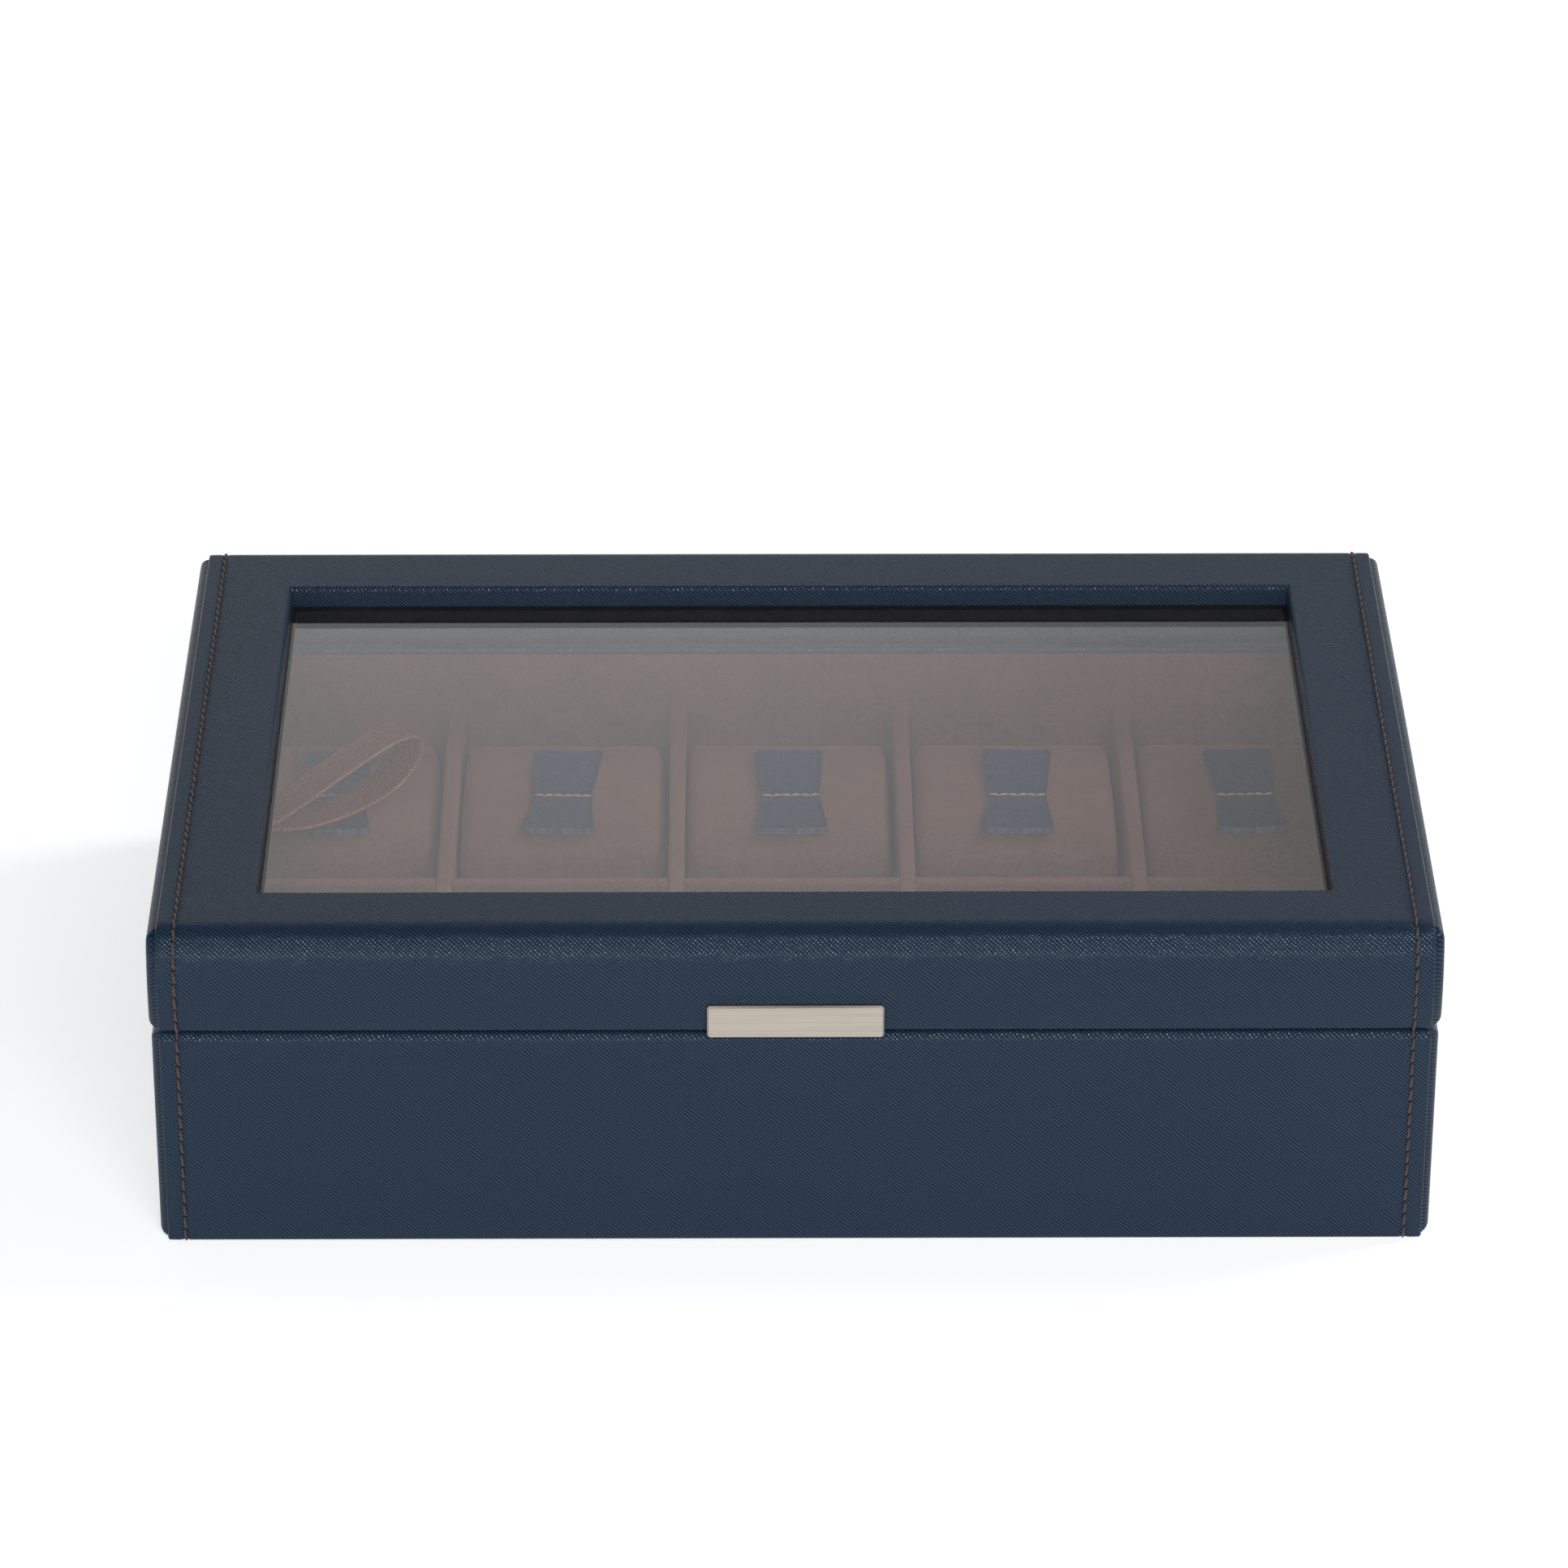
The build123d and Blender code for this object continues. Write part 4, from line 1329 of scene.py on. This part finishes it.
def between(values, position):
    """Smooth value between a list's entries, at a position counted in entries."""
    last = len(values) - 1
    k = min(int(position), last - 1)
    t = position - k
    a, b, c, d = (values[min(max(k + i, 0), last)] for i in (-1, 0, 1, 2))
    return 0.5 * (2 * b + (c - a) * t + (2 * a - 5 * b + 4 * c - d) * t**2 + (3 * b - a - 3 * c + d) * t**3)


def make_ribbon():
    """The stay ribbon, slack and folded over itself, from the base's left wall to the lid's."""
    s = sizes("ribbon")
    seam = (node_box("base_front_leather")[1].z + node_box("lid_leather")[0].z) / 2
    inner = node_box("left_wall_lining")[1].x
    tail = node_box("window_retainer")[0].z - seam - s.end_gap
    places = [
        Vector((inner + s.wall_gap + out * s.reach, back * s.reach, seam + rise * tail))
        for out, back, rise, turn in RIBBON_STATIONS
    ]
    turns = [station[3] for station in RIBBON_STATIONS]
    count = (len(places) - 1) * STEPS_PER_STATION
    middle = [between(places, k / STEPS_PER_STATION) for k in range(count + 1)]
    run = 0.0
    rows_top = []
    rows_low = []
    flat = []
    shares = [k / 5 - 1 for k in range(11)]
    for k in range(count + 1):
        tangent = (middle[min(k + 1, count)] - middle[max(k - 1, 0)]).normalized()
        if k:
            run += (middle[k] - middle[k - 1]).length
        turn = math.radians(between(turns, k / STEPS_PER_STATION))
        across = Vector((math.sin(turn), math.cos(turn), 0))
        across = (across - tangent * across.dot(tangent)).normalized()
        face = across.cross(tangent).normalized()
        bead = abs(math.sin(math.pi * run / s.bead_pitch))
        half = s.width / 2 - s.bead + s.bead * bead
        top = []
        low = []
        for u in shares:
            edge = abs(u) ** 6
            body = middle[k] + across * (u * half) + face * RIBBON_CUP * (u**2)
            thick = s.thickness / 2 * (1 + 0.25 * edge * bead)
            top.append(body + face * thick)
            low.append(body - face * thick)
        rows_top.append(top)
        rows_low.append(low)
        flat.append([(u * s.width / 2, run) for u in shares])
    skin = Skin()
    skin.grid(rows_top, flat)
    skin.grid(rows_low, flat, flip=True)
    for side in (0, -1):
        rim = [[a[side], b[side]] for a, b in zip(rows_top, rows_low)]
        rim_flat = [[f[side], f[side]] for f in flat]
        skin.grid(rim, rim_flat, flip=side == 0)
    for end in (0, -1):
        skin.grid([rows_top[end], rows_low[end]], [flat[end], flat[end]], flip=end == -1)
    piece = skin.finish("ribbon", [ribbon_satin()])
    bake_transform(piece)
    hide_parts("stay_ribbon")
    return piece


# Stage
FLOOR_LIFT = 0.62  # Light that the floor adds of its own
LIGHTS_AIM = (0.0, 0.0, 0.05)
# Each light's name, place, size, power in watts and colour
LIGHTS = (
    ("key", (0.85, 0.30, 0.95), (0.4, 0.4), 4.8, (1.0, 0.985, 0.96)),
    ("front", (0.10, -1.4, 1.05), (1.1, 0.14), 11.5, (1.0, 0.985, 0.99)),
    ("low_front", (0.0, -1.9, 0.32), (2.2, 0.5), 6.5, (1.0, 0.99, 0.985)),
    ("gleam", (-0.05, -1.4, 1.02), (1.3, 0.06), 19.0, (1.0, 1.0, 1.0)),
)
CARD_X = (-1.2, 0.55)
CARD_Y = 1.1
CARD_Z = (0.25, 1.15)
CARD_GLOW = 0.98
CARD_COLOUR = (0.97, 0.985, 0.985, 1.0)
SIDE_LIGHT = (0.73, 0.75, 0.78, 1.0)
OVERHEAD_LIGHT = (0.045, 0.05, 0.06, 1.0)


def backdrop(name, corners):
    """A flat sheet between four corners, which isn't part of the object."""
    data = bpy.data.meshes.new(name)
    data.from_pydata(corners, [], [(0, 1, 2, 3)])
    sheet = place_object(name, data)
    return sheet


def make_floor():
    """A pale floor that goes white under the light and keeps its soft shadows."""
    half = sizes("stage").floor / 2
    floor = backdrop("floor", [(-half, -half, 0), (half, -half, 0), (half, half, 0), (-half, half, 0)])

    def build(graph, shader):
        path = graph.add("ShaderNodeLightPath").outputs
        seen = graph.math("MAXIMUM", path["Is Camera Ray"], path["Is Transmission Ray"])
        seen = graph.math("MAXIMUM", seen, path["Is Glossy Ray"])
        lift = graph.add("ShaderNodeEmission", {"Color": (1.0, 1.0, 1.0, 1.0)})
        graph.feed(lift.inputs["Strength"], graph.math("MULTIPLY", seen, FLOOR_LIFT))
        both = graph.add("ShaderNodeAddShader")
        graph.feed(both.inputs[0], shader.outputs["BSDF"])
        graph.feed(both.inputs[1], lift.outputs[0])
        return both.outputs[0]

    surface = {"Base_Color": (0.86, 0.865, 0.87, 1.0), "Roughness": 0.9, "Specular_IOR_Level": 0.0}
    floor.data.materials.append(material("White floor", build, **surface))


def add_light(name, place, size, power, colour):
    """A rectangular soft light that looks at the box."""
    data = bpy.data.lights.new(name, "AREA")
    data.shape = "RECTANGLE"
    data.size, data.size_y = size
    data.energy = power
    data.color = colour
    lamp = place_object(name, data)
    lamp.location = place
    lamp.rotation_euler = (Vector(LIGHTS_AIM) - Vector(place)).to_track_quat("-Z", "Y").to_euler()
    return lamp


def make_lights():
    """A key light from the right, soft lights and a gleam in front, and a bright card behind the box.

    The gleam shows only in shiny surfaces, and the card only in the glass and the leather.
    """
    lamps = {name: add_light(name, *rest) for name, *rest in LIGHTS}
    lamps["gleam"].visible_diffuse = False
    lamps["gleam"].visible_transmission = False
    (left, right), (low, high) = CARD_X, CARD_Z
    corners = [(left, CARD_Y, low), (right, CARD_Y, low), (right, CARD_Y, high), (left, CARD_Y, high)]
    card = backdrop("back_card", corners)

    def build(graph, shader):
        parts = graph.parts(solid_place(graph))
        across = graph.remap(parts["X"], -0.05, 0.34, 1.0, 0.62)
        upward = graph.remap(parts["Z"], 0.58, 0.72, 1.0, 0.84)
        top = graph.remap(parts["Z"], 0.758, 0.80, 1.0, 0.05)
        fade = graph.math("MULTIPLY", graph.math("MULTIPLY", across, upward), top)
        strength = graph.math("MULTIPLY", fade, CARD_GLOW)
        return graph.add("ShaderNodeEmission", {"Color": CARD_COLOUR, "Strength": strength}).outputs[0]

    card.data.materials.append(material("Back card", build))
    card.visible_camera = False
    card.visible_shadow = False


def make_world():
    """Soft light from all round, darker overhead."""
    world = bpy.data.worlds.new("Studio")
    bpy.context.scene.world = world
    world.use_nodes = True
    world.node_tree.nodes.clear()
    graph = Graph(world.node_tree)
    heading = graph.add("ShaderNodeTexCoord").outputs["Generated"]
    overhead = graph.remap(graph.parts(heading)["Z"], 0.20, 0.55)
    colour = graph.blend(overhead, SIDE_LIGHT, OVERHEAD_LIGHT)
    back = graph.add("ShaderNodeBackground", {"Color": colour, "Strength": 1.0})
    output = graph.add("ShaderNodeOutputWorld")
    graph.feed(output.inputs["Surface"], back.outputs[0])


def make_camera():
    """The camera, at the photograph's place and angle."""
    s = sizes("stage")
    data = bpy.data.cameras.new("camera")
    data.lens = s.focal_length
    data.sensor_width = s.sensor
    data.sensor_fit = "HORIZONTAL"
    data.clip_start = 0.05
    data.clip_end = 20.0
    camera = place_object("camera", data)
    camera.location = s.camera_place
    camera.rotation_euler = (
        Matrix.Rotation(math.radians(-s.camera_yaw), 4, "Z")
        @ Matrix.Rotation(math.radians(90 - s.camera_pitch), 4, "X")
        @ Matrix.Rotation(math.radians(s.camera_roll), 4, "Z")
    ).to_euler()
    bpy.context.scene.camera = camera
    bpy.context.scene.view_settings.view_transform = "Standard"


# Operators, one for each piece or group
class WATCHBOX_OT_covers(bpy.types.Operator):
    """Lays the leather over the lid and the base"""

    bl_idname = "watchbox.covers"
    bl_label = "Leather covers"

    def execute(self, context):
        make_lid_strap()
        make_base_strap("base_front_leather", "base_front_cover", True)
        make_base_strap("base_back_leather", "base_back_cover", False)
        make_base_pad(-1, "base_left_side", "base_left_pad")
        make_base_pad(1, "base_right_side", "base_right_pad")
        make_lid_pad(-1, "lid_left_side", "lid_left_pad")
        make_lid_pad(1, "lid_right_side", "lid_right_pad")
        return {"FINISHED"}


class WATCHBOX_OT_stitching(bpy.types.Operator):
    """Sews the seams of the lid and the base"""

    bl_idname = "watchbox.stitching"
    bl_label = "Stitching"

    def execute(self, context):
        make_lid_stitching()
        make_base_stitching()
        return {"FINISHED"}


class WATCHBOX_OT_interior(bpy.types.Operator):
    """Gives the linings, the dividers and the glass frame their suede"""

    bl_idname = "watchbox.interior"
    bl_label = "Suede interior"

    def execute(self, context):
        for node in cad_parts:
            # The glass frame and the lid's wall lining get the darkened suede: painted shade inside the lid,
            # and for the frame partly its own dark fabric
            if node in ("window_retainer", "lid_wall_lining"):
                finish_node(node, suede("Suede darkened as painted shade", SHADE_SUEDE_DARK, SHADE_SUEDE_LIGHT))
            elif "lining" in node or "divider" in node:
                finish_node(node, suede())
        return {"FINISHED"}


class WATCHBOX_OT_cushions(bpy.types.Operator):
    """Fills the ten cushions"""

    bl_idname = "watchbox.cushions"
    bl_label = "Cushions"

    def execute(self, context):
        make_cushions()
        return {"FINISHED"}


class WATCHBOX_OT_tabs(bpy.types.Operator):
    """Sews a pull tab onto every cushion"""

    bl_idname = "watchbox.tabs"
    bl_label = "Pull tabs"

    def execute(self, context):
        make_tabs()
        return {"FINISHED"}


class WATCHBOX_OT_ribbon(bpy.types.Operator):
    """Hangs the stay ribbon"""

    bl_idname = "watchbox.ribbon"
    bl_label = "Stay ribbon"

    def execute(self, context):
        make_ribbon()
        return {"FINISHED"}


class WATCHBOX_OT_hardware(bpy.types.Operator):
    """Finishes the glass, the plate, the hinges, the boards and the underside"""

    bl_idname = "watchbox.hardware"
    bl_label = "Glass and hardware"

    def execute(self, context):
        finish_node("window_glass", clear_glass())
        finish_node("underside_sheet", felt())
        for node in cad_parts:
            if node == "front_plate":
                finish_node(node, brushed_metal("Brushed nickel", NICKEL))
            elif "hinge" in node:
                finish_node(node, brushed_metal("Dark bronze", HINGE_BRONZE))
            elif "board" in node or "rail" in node:
                finish_node(node, raw_board())
        return {"FINISHED"}


class WATCHBOX_OT_stage(bpy.types.Operator):
    """Sets the floor, the lights and the camera"""

    bl_idname = "watchbox.stage"
    bl_label = "Stage"

    def execute(self, context):
        make_floor()
        make_lights()
        make_world()
        make_camera()
        return {"FINISHED"}


OPERATORS = (
    WATCHBOX_OT_stage,
    WATCHBOX_OT_covers,
    WATCHBOX_OT_stitching,
    WATCHBOX_OT_interior,
    WATCHBOX_OT_cushions,
    WATCHBOX_OT_tabs,
    WATCHBOX_OT_ribbon,
    WATCHBOX_OT_hardware,
)


class WATCHBOX_PT_sidebar(bpy.types.Panel):
    """Buttons of the watch box, in the order in which they are used"""

    bl_idname = "WATCHBOX_PT_sidebar"
    bl_label = "Watch box"
    bl_space_type = "VIEW_3D"
    bl_region_type = "UI"
    bl_category = "Watch box"

    def draw(self, context):
        for operator in OPERATORS:
            self.layout.operator(operator.bl_idname)


class WatchBoxSizes(bpy.types.PropertyGroup):
    leather: PointerProperty(type=LeatherSizes)
    stitches: PointerProperty(type=StitchSizes)
    cushions: PointerProperty(type=CushionSizes)
    tabs: PointerProperty(type=TabSizes)
    ribbon: PointerProperty(type=RibbonSizes)
    stage: PointerProperty(type=StageSizes)


CLASSES = (*SIZES.values(), WatchBoxSizes, *OPERATORS, WATCHBOX_PT_sidebar)


def register():
    """Registers the sizes, the operators and the panel."""
    for item in CLASSES:
        bpy.utils.register_class(item)
    bpy.types.Scene.watch_box = PointerProperty(type=WatchBoxSizes)


def unregister():
    """Takes them away again."""
    del bpy.types.Scene.watch_box
    for item in reversed(CLASSES):
        bpy.utils.unregister_class(item)


def main():
    """Registers the add-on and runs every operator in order."""
    register()
    bpy.ops.watchbox.stage()
    bpy.ops.watchbox.covers()
    bpy.ops.watchbox.stitching()
    bpy.ops.watchbox.interior()
    bpy.ops.watchbox.cushions()
    bpy.ops.watchbox.tabs()
    bpy.ops.watchbox.ribbon()
    bpy.ops.watchbox.hardware()


if __name__ == "__main__":
    main()
